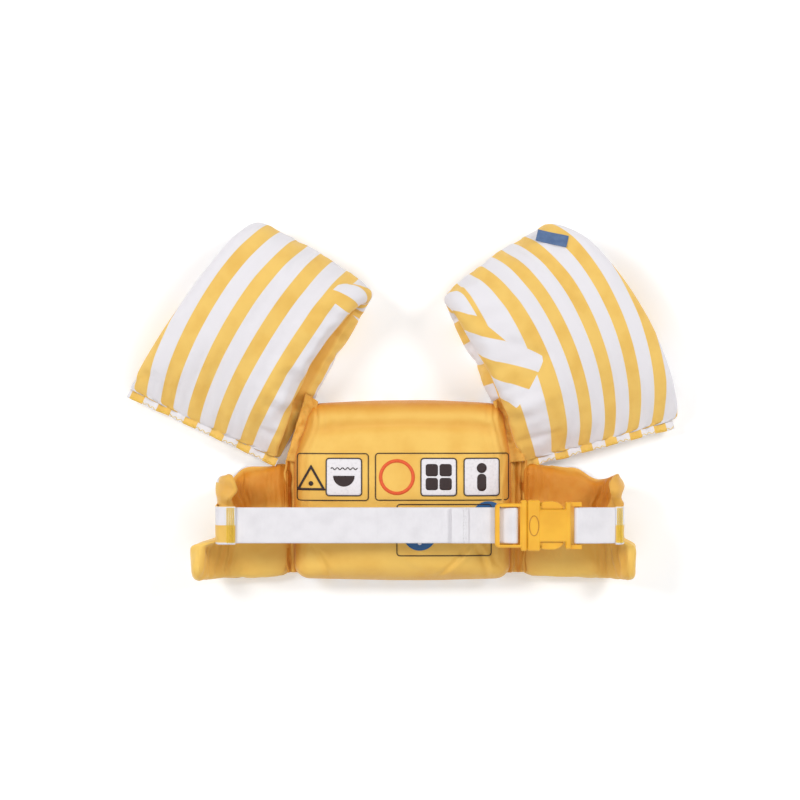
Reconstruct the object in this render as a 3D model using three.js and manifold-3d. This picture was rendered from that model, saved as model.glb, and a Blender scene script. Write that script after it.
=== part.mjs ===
// A child's swim vest: a foam chest pad with two folding sides, two foam arm bands,
// and a back strap with a side-release buckle. It lies on its front, body side up.
// Millimetres, +X to the wearer's right arm band, +Y towards the neck, +Z away from the surface.
import * as THREE from 'three';
import { mergeVertices } from 'three/addons/utils/BufferGeometryUtils.js';
import Module from 'manifold-3d';

const wasm = await Module();
wasm.setup();

// ---- Driving dimensions -------------------------------------------------------------------

const clearance = 0.3;        // between pieces that lie face to face
const cloth = 1.1;            // a cloth wall, with its seam allowance

const chestWidth = 172;
const chestHeight = 146;
const chestThickness = 40;
const chestTopCorner = 24;    // radius of the two neck-side corners
const chestBottomCorner = 16;
const chestEdge = 9;          // how far the foam's edges are rounded over
const chestCentre = new THREE.Vector2(5, -77);

const sideGap = 9;            // sewn channel between the chest foam and a side pad
const sideDrop = 58.5;        // from the chest's neck edge down to the side pads' upper edge
const sideThickness = 16;
const sideCurl = 30;          // radius of the curl at the centre of the side pad's foam
const sideTurn = 120;         // degrees through which a side pad curls up and back
const sideBottomInset = 1.5;  // the side pads' lower edge, in from the chest's lower edge
const sideFlat = { left: 48, right: 62 };    // each side pad's length before it curls
const tabReach = { left: 25, right: 9 };     // from a side pad's tip in to its tab's free edge
const hingeRise = 1;          // the side pads' underside, above the table
const tabWidth = 32;
const tabThickness = 1.6;

const armThickness = 50;
const armSectionLength = 172; // from the flat seam to the fold, as drawn before it is laid out
const armSeamWidth = 7;
const armSeamThickness = 3;
const armSeamGap = 4;         // the band's thickness where it meets its flat seam
const armTopRun = 75;         // the top layer starts to slope this far from the fold
const armUnderRun = 58;       // the under layer lies flat from here to the fold
const armSlotHeight = 16;     // the flattened arm opening
const armSlotStart = 38;      // from the flat seam to the arm opening
const armSlotEnd = 24;        // from the fold to the arm opening
const armFoamStart = 20;      // the foam stops short of the flat seam
const armSeamZ = 11;
const bridgeWidth = 4;
const bridgeLength = 30;
const bridgeHeight = 20;

const webbingWidth = 30;
const webbingThickness = 1.4;
const strapOffset = 1.5;      // the strap's middle, above the side pads' middle
const strapRise = 6;          // the buckle's middle, above the side pads' tips
const strapUnderTab = 4;
const tailLength = 33;        // free end of the long strap, past the buckle's frame

const shortStrap = 64;        // from the buckle's middle to the right tab's free edge
const buckleThickness = 11;
const buckleWidth = webbingWidth + 12;    // across the mouth of the socket
const socketStart = -9.5;
const socketEnd = 26.5;
const socketWall = 2;
const mouthLength = 10.7;
const windowEnd = 22;         // the side windows run from the mouth band to here
const windowWaist = buckleWidth - 15;     // width left between the two finger scoops
const postLength = 9;
const postWidth = 3.4;
const barRadius = 1.7;
const frameLength = 26.5;
const frameSlotLength = 17;
const frameSlotWidth = webbingWidth + 1.6;
const frameRail = 2.5;
const frameWidth = frameSlotWidth + 2 * frameRail;
const frameOuterBar = 3.9;
const frameInnerBar = 10.6;   // from the plug's shoulder to the middle of the inner bar
const frameBarRadius = 1.9;
const shoulderLength = 5;
const latchGap = 0.4;
const tongueWidth = 8;
const tongueThickness = 4.4;
const prongInner = buckleWidth / 2 - 7.8;  // from the buckle's middle line to a prong's inner side
const prongWidth = 3.4;
const prongThickness = 5.6;
const prongBulge = 6.8;       // the prong's finger pad, out from its inner side
const prongPivot = 1.7;       // radius of the prong's rounded root
const strapDrop = 2.4;        // the strap's main run, below the buckle's middle
const layerStep = 1.75;       // from one layer of webbing to the next

// ---- Materials ----------------------------------------------------------------------------

const cloths = (color) => new THREE.MeshStandardMaterial({ color, roughness: 0.75, metalness: 0 });
const striped = cloths(0xf6d58e);
const lining = cloths(0xf0b95a);
const foam = new THREE.MeshStandardMaterial({ color: 0xf2f2ee, roughness: 0.9, metalness: 0 });
const webbing = new THREE.MeshStandardMaterial({ color: 0xe8e5e9, roughness: 0.8, metalness: 0 });
const plastic = new THREE.MeshStandardMaterial({ color: 0xf5b630, roughness: 0.4, metalness: 0 });
const thread = cloths(0xf2c52c);
const labelCloth = cloths(0x44608a);

// ---- Making solids ------------------------------------------------------------------------

function solidOf(geometry) {
  const plain = geometry.index ? geometry.toNonIndexed() : geometry.clone();
  plain.deleteAttribute('normal');
  plain.deleteAttribute('uv');
  const merged = mergeVertices(plain, 1e-4);
  const mesh = new wasm.Mesh({
    numProp: 3,
    vertProperties: new Float32Array(merged.attributes.position.array),
    triVerts: new Uint32Array(merged.index.array),
  });
  return new wasm.Manifold(mesh);
}

function geometryOf(solid) {
  const mesh = solid.getMesh();
  return new THREE.BufferGeometry()
    .setAttribute('position', new THREE.BufferAttribute(mesh.vertProperties, 3))
    .setIndex(new THREE.BufferAttribute(mesh.triVerts, 1));
}

function block(x0, x1, y0, y1, z0, z1) {
  const box = new THREE.BoxGeometry(x1 - x0, y1 - y0, z1 - z0);
  return solidOf(box.translate((x0 + x1) / 2, (y0 + y1) / 2, (z0 + z1) / 2));
}

// A plan outline raised from z0 to z1.
function raised(shape, z0, z1, segments = 6) {
  const geometry = new THREE.ExtrudeGeometry(shape, {
    depth: z1 - z0, bevelEnabled: false, curveSegments: segments,
  });
  return solidOf(geometry.translate(0, 0, z0));
}

// A side-view outline, drawn with x across and z up, running from y0 to y1.
function spanned(shape, y0, y1, segments = 6) {
  const geometry = new THREE.ExtrudeGeometry(shape, {
    depth: y1 - y0, bevelEnabled: false, curveSegments: segments,
  });
  return solidOf(geometry.rotateX(Math.PI / 2).translate(0, y1, 0));
}

function addPart(parent, name, shape, material) {
  const geometry = shape.isBufferGeometry ? shape : geometryOf(shape);
  const mesh = new THREE.Mesh(geometry, material);
  mesh.name = name;
  parent.add(mesh);
  return mesh;
}

// A strip along a side-view path, from below it to above it. Only the path's bends are divided.
function strip(path, below, above, divisions = 8) {
  const lower = [];
  const upper = [];
  path.curves.forEach((curve, index) => {
    const steps = curve.isLineCurve ? 1 : divisions;
    const first = index === 0 ? 0 : 1;
    for (let i = first; i <= steps; i += 1) {
      const point = curve.getPoint(i / steps);
      const tangent = curve.getTangent(i / steps);
      const normal = new THREE.Vector2(-tangent.y, tangent.x);
      lower.push(point.clone().addScaledVector(normal, below));
      upper.push(point.clone().addScaledVector(normal, above));
    }
  });
  return new THREE.Shape([...lower, ...upper.reverse()]);
}

const vest = new THREE.Group();

// ---- Chest pad: two cloth panels sewn round two sheets of foam ------------------------------

const chestLeft = chestCentre.x - chestWidth / 2;
const chestRight = chestCentre.x + chestWidth / 2;
const chestTop = chestCentre.y + chestHeight / 2;
const chestBottom = chestCentre.y - chestHeight / 2;

function chestOutline(inset) {
  const left = chestLeft + inset;
  const right = chestRight - inset;
  const top = chestTop - inset;
  const bottom = chestBottom + inset;
  const high = chestTopCorner - inset;
  const low = chestBottomCorner - inset;
  const shape = new THREE.Shape();
  shape.moveTo(left + low, bottom);
  shape.lineTo(right - low, bottom);
  shape.absarc(right - low, bottom + low, low, -Math.PI / 2, 0, false);
  shape.lineTo(right, top - high);
  shape.absarc(right - high, top - high, high, 0, Math.PI / 2, false);
  shape.lineTo(left + high, top);
  shape.absarc(left + high, top - high, high, Math.PI / 2, Math.PI, false);
  shape.lineTo(left, bottom + low);
  shape.absarc(left + low, bottom + low, low, Math.PI, 1.5 * Math.PI, false);
  return shape;
}

function chestBody(inset) {
  const edge = chestEdge - inset;
  const geometry = new THREE.ExtrudeGeometry(chestOutline(chestEdge), {
    depth: chestThickness - 2 * chestEdge,
    bevelThickness: edge,
    bevelSize: edge,
    bevelSegments: 2,
    curveSegments: 3,
  });
  return solidOf(geometry.translate(0, 0, chestEdge));
}

function chestSlice(solid, z0, z1) {
  const over = 20;
  return solid.intersect(
    block(chestLeft - over, chestRight + over, chestBottom - over, chestTop + over, z0, z1));
}

const chestMiddle = chestThickness / 2;
const chestSkin = chestBody(0).subtract(chestBody(cloth));
const chestFoam = chestBody(cloth + clearance);
const halfClearance = clearance / 2;
addPart(vest, 'chest_front_cover', chestSlice(chestSkin, -1, chestMiddle - halfClearance), striped);
addPart(vest, 'chest_back_cover',
  chestSlice(chestSkin, chestMiddle + halfClearance, chestThickness + 1), lining);
addPart(vest, 'chest_foam_front', chestSlice(chestFoam, 0, chestMiddle - halfClearance), foam);
addPart(vest, 'chest_foam_back',
  chestSlice(chestFoam, chestMiddle + halfClearance, chestThickness), foam);

// ---- Side pads: each hangs on a sewn channel and curls up to meet the back strap -------------

const sideLow = chestBottom + sideBottomInset;
const sideHigh = chestTop - sideDrop;
const hingeOffset = chestWidth / 2 + sideGap;
const hingeZ = sideThickness / 2 + hingeRise;
const radians = THREE.MathUtils.degToRad;
const tipAngle = radians(sideTurn) - Math.PI / 2;    // of the tip, above the curl's centre
const tipOut = sideCurl * Math.cos(tipAngle);

const strapY = (sideLow + sideHigh) / 2 + strapOffset;
const buckleZ = hingeZ + sideCurl * (1 + Math.sin(tipAngle)) + strapRise;
const strapZ = buckleZ - strapDrop;        // middle of the strap's single layer
const tabZ = strapZ + (webbingThickness + tabThickness) / 2 + clearance;
const tabEdges = {
  left: chestCentre.x - hingeOffset - sideFlat.left - tipOut + tabReach.left,
  right: chestCentre.x + hingeOffset + sideFlat.right + tipOut - tabReach.right,
};

// direction is 1 on the right and -1 on the left.
function sidePad(name, direction) {
  const side = new THREE.Group();
  const flat = sideFlat[name];
  const hingeX = chestCentre.x + direction * hingeOffset;
  const half = sideThickness / 2;
  const inner = half - cloth;

  // Drawn for the right side about the hinge line, then turned over for the left.
  const placed = (shape, y0, y1) => {
    const solid = spanned(shape, y0, y1);
    const turned = direction < 0 ? solid.mirror([1, 0, 0]) : solid;
    return turned.translate([hingeX, 0, hingeZ]);
  };
  const padStrip = (below, above, margin, from, tipMargin) => {
    const path = new THREE.Path();
    path.moveTo(from, 0);
    path.lineTo(flat, 0);
    path.absarc(flat, sideCurl, sideCurl, -Math.PI / 2, tipAngle - tipMargin / sideCurl, false);
    return placed(strip(path, below, above, 10), sideLow + margin, sideHigh - margin);
  };
  const rod = (radius, margin) => placed(
    new THREE.Shape().absarc(0, 0, radius, 0, 2 * Math.PI, false),
    sideLow + margin, sideHigh - margin);

  const cover = padStrip(-half, half, 0, 0, 0).add(rod(half, 0))
    .subtract(padStrip(-inner, half + 1, cloth, 0, cloth))
    .subtract(rod(inner, cloth));
  const inside = cloth + clearance;
  addPart(side, `side_cover_${name}`, cover, striped);
  addPart(side, `side_foam_${name}`,
    padStrip(-inner + clearance, inner - 2 * clearance, inside, 1, inside), foam);
  addPart(side, `side_lining_${name}`,
    padStrip(inner - clearance, half, inside, 1, inside), lining);

  // The tab runs on from the outer cloth at the tip, over the end of the strap.
  const tabRadius = sideCurl + half + clearance + tabThickness / 2;
  const tabTop = tabZ - hingeZ;
  const leave = new THREE.Vector2(Math.cos(tipAngle), Math.sin(tipAngle))
    .multiplyScalar(tabRadius).add(new THREE.Vector2(flat, sideCurl));
  const rise = (tabTop - leave.y) * Math.tan(tipAngle);
  const tabEnd = direction * (tabEdges[name] - hingeX);
  const tabPath = new THREE.Path();
  tabPath.absarc(flat, sideCurl, tabRadius, tipAngle - radians(20), tipAngle, false);
  tabPath.quadraticCurveTo(leave.x - rise, tabTop, leave.x - rise - 3, tabTop);
  tabPath.lineTo(tabEnd, tabTop);
  const tab = strip(tabPath, -tabThickness / 2, tabThickness / 2, 4);
  addPart(side, `side_tab_${name}`,
    placed(tab, strapY - tabWidth / 2, strapY + tabWidth / 2), striped);

  // A row of stitching on the tab, along its free edge.
  const stitchStart = tabEnd + 1;
  const stitchWidth = 2.4;
  const stitchThickness = 0.6;
  const stitching = new THREE.Path();
  stitching.moveTo(stitchStart + stitchWidth, tabTop + tabThickness / 2 + clearance);
  stitching.lineTo(stitchStart, tabTop + tabThickness / 2 + clearance);
  addPart(side, `tab_stitching_${name}`,
    placed(strip(stitching, -stitchThickness, 0),
      strapY - webbingWidth / 2, strapY + webbingWidth / 2),
    thread);
  vest.add(side);

  // The flat sewn channel that joins the side pad to the chest pad. It lies under both pads' edges.
  const underChest = 2.5;
  const underSide = 6;
  const belowArm = 8;           // its upper end stays clear of the arm band
  const channelEdges = [chestWidth / 2 - underChest, hingeOffset + underSide]
    .map((offset) => chestCentre.x + direction * offset).sort((a, b) => a - b);
  addPart(vest, `side_channel_${name}`,
    block(...channelEdges, sideLow + 3, sideHigh - belowArm, 0.2, 0.7), striped);
}

sidePad('left', -1);
sidePad('right', 1);

// ---- Arm bands: a foam pad folded once and sewn flat along its two meeting edges --------------

// The section of an arm band, drawn from the flat seam (x 0) to the fold, z up.
function armSection() {
  const end = armSectionLength;
  const round = armThickness / 2;
  const shape = new THREE.Shape();
  shape.moveTo(end - round, 0);
  shape.absarc(end - round, round, round, -Math.PI / 2, Math.PI / 2, false);
  const half = armSeamGap / 2;
  const shoulder = new THREE.Vector2(42, armThickness - 8);   // steers the top layer to the seam
  shape.bezierCurveTo(end - armTopRun, armThickness + 1, shoulder.x, shoulder.y,
    armSeamWidth, armSeamZ + half);
  shape.lineTo(armSeamWidth, armSeamZ - half);
  shape.bezierCurveTo(20, 4, armUnderRun - 20, 0, armUnderRun, 0);
  return shape.getPoints(6);
}

function armSlot() {
  const length = armSectionLength - armSlotStart - armSlotEnd;
  const slot = new THREE.Path();
  slot.absellipse(armSlotStart + length / 2, armThickness * 0.45, length / 2,
    armSlotHeight / 2, 0, 2 * Math.PI, false);
  return slot.getPoints(9).slice(0, -1);
}

// A closed outline moved outwards by a distance, or inwards by a negative one.
function grown(points, distance) {
  const open = points[0].distanceTo(points[points.length - 1]) < 1e-6 ? points.slice(0, -1) : points;
  const turn = THREE.ShapeUtils.area(open) > 0 ? 1 : -1;
  return open.map((point, i) => {
    const before = open[(i + open.length - 1) % open.length];
    const after = open[(i + 1) % open.length];
    const tangent = after.clone().sub(before).normalize();
    return point.clone().addScaledVector(new THREE.Vector2(tangent.y, -tangent.x), distance * turn);
  });
}

// Runs a section along an arm band, from its seam line to its fold line, past both its ends.
function laidOut(arm, section, holes = [], from = -0.2, to = 1.4) {
  const shape = new THREE.Shape(section);
  shape.holes = holes.map((hole) => new THREE.Path(hole));
  const geometry = new THREE.ExtrudeGeometry(shape, { depth: 1, steps: 3, bevelEnabled: false });
  const position = geometry.attributes.position;
  for (let i = 0; i < position.count; i += 1) {
    const across = position.getX(i) / armSectionLength;
    const along = from + (to - from) * position.getZ(i);
    const seam = arm.seamInner.clone().lerp(arm.seamOuter, along);
    const point = seam.lerp(arm.foldInner.clone().lerp(arm.foldOuter, along), across);
    position.setXYZ(i, point.x, point.y, position.getY(i));
  }
  // On the left the same section runs the other way, so its faces are turned to face out again.
  const outwards = arm.seamOuter.clone().sub(arm.seamInner);
  return solidOf(arm.seamToFold.cross(outwards) > 0 ? turnedFaces(geometry) : geometry);
}

function turnedFaces(geometry) {
  const position = geometry.attributes.position;
  for (let i = 0; i < position.count; i += 3) {
    const corner = [position.getX(i), position.getY(i), position.getZ(i)];
    position.setXYZ(i, position.getX(i + 1), position.getY(i + 1), position.getZ(i + 1));
    position.setXYZ(i + 1, ...corner);
  }
  return geometry;
}

// The block that trims an arm band's two ends: straight at the chest, bowed at the outside.
function armEnds(arm, inset) {
  const past = arm.seamToFold.clone().multiplyScalar(20);
  const outline = [
    arm.seamInner.clone().sub(past),
    arm.foldInner.clone().add(past),
    arm.foldOuter.clone().add(past),
  ];
  const chord = arm.seamOuter.clone().sub(arm.foldOuter);
  const outwards = arm.seamOuter.clone().sub(arm.seamInner).normalize();
  const divisions = 8;
  for (let i = 0; i <= divisions; i += 1) {
    const t = i / divisions;
    outline.push(arm.foldOuter.clone().addScaledVector(chord, t)
      .addScaledVector(outwards, arm.outerBow * (4 * t * (1 - t)) ** 0.7));
  }
  outline.push(arm.seamOuter.clone().sub(past));
  return raised(new THREE.Shape(grown(outline, -inset)), -1, armThickness + 2);
}

const section = armSection();
const slot = armSlot();

function armBand(name, arm) {
  const group = new THREE.Group();
  arm.seamToFold = arm.foldInner.clone().sub(arm.seamInner).normalize();
  const inside = cloth + clearance;
  const insideEnds = armEnds(arm, inside);
  const cover = laidOut(arm, section, [slot]).intersect(armEnds(arm, 0))
    .subtract(laidOut(arm, grown(section, -cloth)).intersect(armEnds(arm, cloth)));
  addPart(group, `arm_cover_${name}`, cover, striped);
  const foamEdge = grown(section, -inside)
    .map((point) => new THREE.Vector2(Math.max(point.x, armFoamStart), point.y));
  addPart(group, `arm_foam_${name}`,
    laidOut(arm, foamEdge, [grown(slot, inside + clearance)]).intersect(insideEnds), foam);
  addPart(group, `arm_lining_${name}`,
    laidOut(arm, grown(slot, cloth), [slot]).intersect(insideEnds), striped);

  const seamStrip = [[0, -1], [1, -1], [1, 1], [0, 1]].map(([x, z]) => new THREE.Vector2(
    x * (armSeamWidth - clearance), armSeamZ + z * armSeamThickness / 2));
  addPart(group, `arm_flat_seam_${name}`,
    laidOut(arm, seamStrip).intersect(armEnds(arm, 2)), striped);

  // The bridge is a short strap of doubled cloth between the arm band and the chest pad's corner.
  const bridge = new THREE.BoxGeometry(bridgeWidth, bridgeLength, bridgeHeight);
  const corner = new THREE.Vector2(
    chestCentre.x + Math.sign(arm.seamInner.x) * (chestWidth / 2 - chestTopCorner),
    chestTop - chestTopCorner);
  const reach = corner.sub(arm.seamInner).dot(arm.seamToFold);
  const inwards = new THREE.Vector2(arm.seamToFold.y, -arm.seamToFold.x)
    .multiplyScalar(-Math.sign(arm.seamInner.x));
  const middle = arm.seamInner.clone().addScaledVector(arm.seamToFold, reach)
    .addScaledVector(inwards, bridgeWidth / 2 + clearance);
  const bridgeMesh = addPart(group, `arm_bridge_${name}`, bridge, lining);
  bridgeMesh.position.set(middle.x, middle.y, chestThickness / 2 + 2);
  bridgeMesh.rotation.z = Math.atan2(arm.seamToFold.y, arm.seamToFold.x) - Math.PI / 2;
  vest.add(group);
  return group;
}

// The arm bands' corners in plan, measured from the chest pad's neck corner on their side.
const fromCorner = (cornerX, x, y) => new THREE.Vector2(cornerX + x, chestTop + y);
armBand('left', {
  seamInner: fromCorner(chestLeft, -25, -52),
  seamOuter: fromCorner(chestLeft, -151, 7),
  foldInner: fromCorner(chestLeft, 54, 96),
  foldOuter: fromCorner(chestLeft, -46, 148),
  outerBow: 16,
});

const rightArm = {
  seamInner: fromCorner(chestRight, 22, -54),
  seamOuter: fromCorner(chestRight, 141, -20),
  foldInner: fromCorner(chestRight, -49, 94),
  foldOuter: fromCorner(chestRight, 41, 150),
  outerBow: 24,
};
const rightBand = armBand('right', rightArm);

// A blank woven label, folded over the right arm band's fold.
const labelThickness = 0.7;
const labelStrip = (() => {
  const centreX = armSectionLength - armThickness / 2;
  const centreZ = armThickness / 2;
  const outer = armThickness / 2 + clearance + labelThickness;
  const shape = new THREE.Shape();
  shape.absarc(centreX, centreZ, outer, radians(-20), radians(80), false);
  shape.absarc(centreX, centreZ, outer - labelThickness, radians(80), radians(-20), true);
  return shape.getPoints(8);
})();
addPart(rightBand, 'blank_label', laidOut(rightArm, labelStrip, [], 0.72, 0.92), labelCloth);

// ---- Back strap and buckle --------------------------------------------------------------------

const buckleX = tabEdges.right - shortStrap;        // middle of the closed buckle
const runZ = -strapDrop;
const loopRadius = barRadius + clearance + webbingThickness / 2;
const frameBarX = socketStart - latchGap - frameInnerBar;
const outerBarX = socketStart - latchGap - frameLength;

function ribbon(path) {
  const layer = strip(path, -webbingThickness / 2, webbingThickness / 2, 8);
  return atBuckle(spanned(layer, -webbingWidth / 2, webbingWidth / 2));
}

function atBuckle(solid) {
  return solid.translate([buckleX, strapY, buckleZ]);
}

const wrap = frameBarRadius + clearance + webbingThickness / 2;
const barZ = runZ + wrap;
const longPath = new THREE.Path();
longPath.moveTo(tabEdges.left - strapUnderTab * 2 - buckleX, runZ);
longPath.lineTo(frameBarX, runZ);
longPath.absarc(frameBarX, barZ, wrap, -Math.PI / 2, Math.PI / 2, false);
longPath.bezierCurveTo(frameBarX - 5, barZ + wrap, outerBarX + 6, runZ + layerStep,
  outerBarX - 2, runZ + layerStep);
longPath.lineTo(outerBarX - tailLength, runZ + layerStep);
addPart(vest, 'strap_long', ribbon(longPath), webbing);

const socketBarX = socketEnd + 5;
const shortPath = new THREE.Path();
const tabStart = tabEdges.right - buckleX;
shortPath.moveTo(tabStart + strapUnderTab, runZ);
shortPath.lineTo(socketBarX + 8, runZ);
shortPath.bezierCurveTo(socketBarX + 5, runZ, socketBarX + 3, -loopRadius, socketBarX, -loopRadius);
shortPath.absarc(socketBarX, 0, loopRadius, 1.5 * Math.PI, Math.PI / 2, true);
shortPath.bezierCurveTo(socketBarX + 6, loopRadius, tabStart - 12, runZ + layerStep,
  tabStart - 4, runZ + layerStep);
addPart(vest, 'strap_short', ribbon(shortPath), webbing);

// A bevelled plate drawn in plan, centred on the buckle's middle height.
function plate(shape, thickness, bevel = 1) {
  const geometry = new THREE.ExtrudeGeometry(shape, {
    depth: thickness - 2 * bevel,
    bevelThickness: bevel,
    bevelSize: bevel,
    bevelOffset: -bevel,
    bevelSegments: 1,
    curveSegments: 3,
  });
  return solidOf(geometry.translate(0, 0, bevel - thickness / 2));
}

function roundedBox(x0, x1, halfWidth, corner) {
  const shape = new THREE.Shape();
  shape.moveTo(x0 + corner, -halfWidth);
  shape.lineTo(x1 - corner, -halfWidth);
  shape.absarc(x1 - corner, -halfWidth + corner, corner, -Math.PI / 2, 0, false);
  shape.absarc(x1 - corner, halfWidth - corner, corner, 0, Math.PI / 2, false);
  shape.absarc(x0 + corner, halfWidth - corner, corner, Math.PI / 2, Math.PI, false);
  shape.absarc(x0 + corner, -halfWidth + corner, corner, Math.PI, 1.5 * Math.PI, false);
  return shape;
}

function socket() {
  const windowStart = socketStart + mouthLength;
  const halfTop = buckleThickness / 2;
  const over = 1;
  const step = 0.2;             // each plate is a little thinner than the one before it
  const mouth = plate(roundedBox(socketStart, windowStart, buckleWidth / 2, 2), buckleThickness);
  const endWidth = webbingWidth / 2 + 1 + postWidth;
  const end = plate(roundedBox(windowEnd, socketEnd, endWidth, 1.2), buckleThickness - step);
  const body = plate(roundedBox(windowStart - 3, windowEnd + 2, windowWaist / 2, 1.2),
    buckleThickness - 2 * step);
  const chamberHalf = halfTop - socketWall;
  const chamberWidth = buckleWidth / 2 - socketWall;
  const chamber = block(socketStart - over, windowEnd - 0.5, -chamberWidth, chamberWidth,
    -chamberHalf, chamberHalf);
  let made = mouth.add(body).add(end).subtract(chamber);
  const postZ = 3;
  const bar = new THREE.CylinderGeometry(barRadius, barRadius, 2 * endWidth - 2, 10);
  made = made.add(solidOf(bar.translate(socketBarX, 0, 0)));
  for (const hand of [-1, 1]) {
    const edges = [hand * endWidth, hand * (endWidth - postWidth)].sort((a, b) => a - b);
    made = made.add(block(socketEnd - 1, socketEnd + postLength, ...edges, -postZ, postZ));
  }
  return made;
}

function plug() {
  const base = socketStart - latchGap;
  const start = base - frameLength;
  const frame = plate(roundedBox(start, base, frameWidth / 2, 4), buckleThickness - 1);
  const shoulder = plate(
    roundedBox(base - shoulderLength, base, buckleWidth / 2, 1.4), buckleThickness);
  const slotStart = start + frameOuterBar;
  const slotHalf = frameSlotWidth / 2;
  const opening = block(slotStart, slotStart + frameSlotLength, -slotHalf, slotHalf, -9, 9);
  // Under the outer bar the frame is cut away, so that both layers of webbing pass below it.
  const under = block(start - 1, slotStart + 1, -slotHalf, slotHalf, -9, 1.2);
  const innerBar = new THREE.CylinderGeometry(frameBarRadius, frameBarRadius, frameSlotWidth + 2, 10);
  const halfTop = buckleThickness / 2;
  const tongueEnd = windowEnd - 5;
  const tongue = block(base - 1, tongueEnd, -tongueWidth / 2, tongueWidth / 2,
    -tongueThickness / 2, tongueThickness / 2);
  const made = frame.add(shoulder).subtract(opening).subtract(under)
    .add(solidOf(innerBar.translate(frameBarX, 0, barZ)))
    .add(tongue);
  // The prongs are let into two pockets in the shoulder.
  const pocketDepth = 2.2;
  const pocketWall = 1.6;
  const pocketSides = [prongInner - 0.8, prongInner + prongWidth + 0.8];
  const pocket = (hand) => block(base - pocketDepth, base + 1,
    ...pocketSides.map((side) => hand * side).sort((a, b) => a - b),
    -halfTop + pocketWall, halfTop - pocketWall);
  return made.subtract(pocket(-1)).subtract(pocket(1));
}

// One of the two springy prongs, drawn for the upper side (+Y).
function prong(hand) {
  const base = socketStart - latchGap;
  const hook = socketStart + mouthLength + clearance;
  const start = base + latchGap;
  const tip = windowEnd - 1.8;
  const outer = prongInner + prongBulge;
  const shape = new THREE.Shape();
  shape.moveTo(start, prongInner);
  shape.lineTo(tip - 2.2, prongInner);
  shape.quadraticCurveTo(tip + 0.4, prongInner + 0.4, tip, prongInner + 2);
  shape.quadraticCurveTo(tip - 2.2, outer - 0.6, tip - 8.2, outer);
  shape.quadraticCurveTo(hook + 3, outer + 0.2, hook, outer - 1);
  shape.lineTo(hook, prongInner + prongWidth);
  shape.lineTo(start, prongInner + prongWidth);
  const arm = plate(shape, prongThickness, 0.6);
  const root = raised(
    new THREE.Shape().absarc(base - 0.1, prongInner + prongPivot, prongPivot, 0, 2 * Math.PI, false),
    -prongThickness / 2, prongThickness / 2);
  const made = arm.add(root);
  return hand < 0 ? made.mirror([0, 1, 0]) : made;
}

addPart(vest, 'buckle_socket', atBuckle(socket()), plastic);
addPart(vest, 'buckle_plug', atBuckle(plug()), plastic);
addPart(vest, 'buckle_prong_upper', atBuckle(prong(1)), plastic);
addPart(vest, 'buckle_prong_lower', atBuckle(prong(-1)), plastic);

// ---- The part's frame: the middle of its footprint, on the surface it lies on -------------------

const box = new THREE.Box3().setFromObject(vest);
const middle = box.getCenter(new THREE.Vector3());
vest.position.set(-middle.x, -middle.y, -box.min.z);

const swimVest = new THREE.Group();
swimVest.add(vest);

export default swimVest;
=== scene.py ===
import math

import bpy
import numpy as np
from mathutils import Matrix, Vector, noise
from mathutils.bvhtree import BVHTree


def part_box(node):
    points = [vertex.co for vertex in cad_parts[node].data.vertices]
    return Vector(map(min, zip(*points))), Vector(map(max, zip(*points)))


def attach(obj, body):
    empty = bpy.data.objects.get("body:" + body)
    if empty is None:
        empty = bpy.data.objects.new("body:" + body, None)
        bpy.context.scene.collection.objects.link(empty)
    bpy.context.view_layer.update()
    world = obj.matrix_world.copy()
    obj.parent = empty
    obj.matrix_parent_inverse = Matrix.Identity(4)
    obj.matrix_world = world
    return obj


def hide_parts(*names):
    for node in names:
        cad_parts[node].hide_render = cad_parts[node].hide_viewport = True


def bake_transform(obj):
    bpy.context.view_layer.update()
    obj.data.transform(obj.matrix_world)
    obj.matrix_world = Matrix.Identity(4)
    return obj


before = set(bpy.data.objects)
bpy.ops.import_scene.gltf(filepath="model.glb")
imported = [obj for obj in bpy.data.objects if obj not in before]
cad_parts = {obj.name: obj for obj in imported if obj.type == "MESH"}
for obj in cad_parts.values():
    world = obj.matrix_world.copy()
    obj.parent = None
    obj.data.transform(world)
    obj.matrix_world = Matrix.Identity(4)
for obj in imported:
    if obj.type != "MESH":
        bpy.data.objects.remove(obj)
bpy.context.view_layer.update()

# ---- Camera, table and lights --------------------------------------------------------------
# The vest lies face down on a white table and is seen from straight above. Two soft lights stand
# to its left and right, a little beyond the neck, so each arm band shades the table on its inner
# side. A weaker one stands over the waist.

scene = bpy.context.scene
scene.view_settings.view_transform = "Standard"

EYE_HEIGHT = 2.0
LENS = 105.3
camera = bpy.data.objects.new("camera", bpy.data.cameras.new("camera"))
camera.data.lens = LENS
camera.location = (-0.001, 0.002, EYE_HEIGHT)
scene.collection.objects.link(camera)
scene.camera = camera


class Num:
    """A number that changes over a surface. Arithmetic on it adds Math nodes."""

    def __init__(self, finish, socket):
        self.finish = finish
        self.socket = socket

    def math(self, operation, *others):
        made = self.finish.node("ShaderNodeMath", {"operation": operation}, [self, *others])
        return Num(self.finish, made.outputs[0])

    def __add__(self, other):
        return self.math("ADD", other)

    def __mul__(self, other):
        return self.math("MULTIPLY", other)

    def __sub__(self, other):
        return self.math("SUBTRACT", other)

    def __rsub__(self, other):
        return self * -1 + other

    def __gt__(self, other):
        return self.math("GREATER_THAN", other)

    __radd__ = __add__
    __rmul__ = __mul__

    def sine(self):
        return self.math("SINE")

    def fraction(self):
        return self.math("FRACT")

    def size(self):
        return self.math("ABSOLUTE")

    def smooth(self, low, high):
        settings = {"interpolation_type": "SMOOTHSTEP"}
        made = self.finish.node("ShaderNodeMapRange", settings, [self, low, high])
        return Num(self.finish, made.outputs[0])


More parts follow.
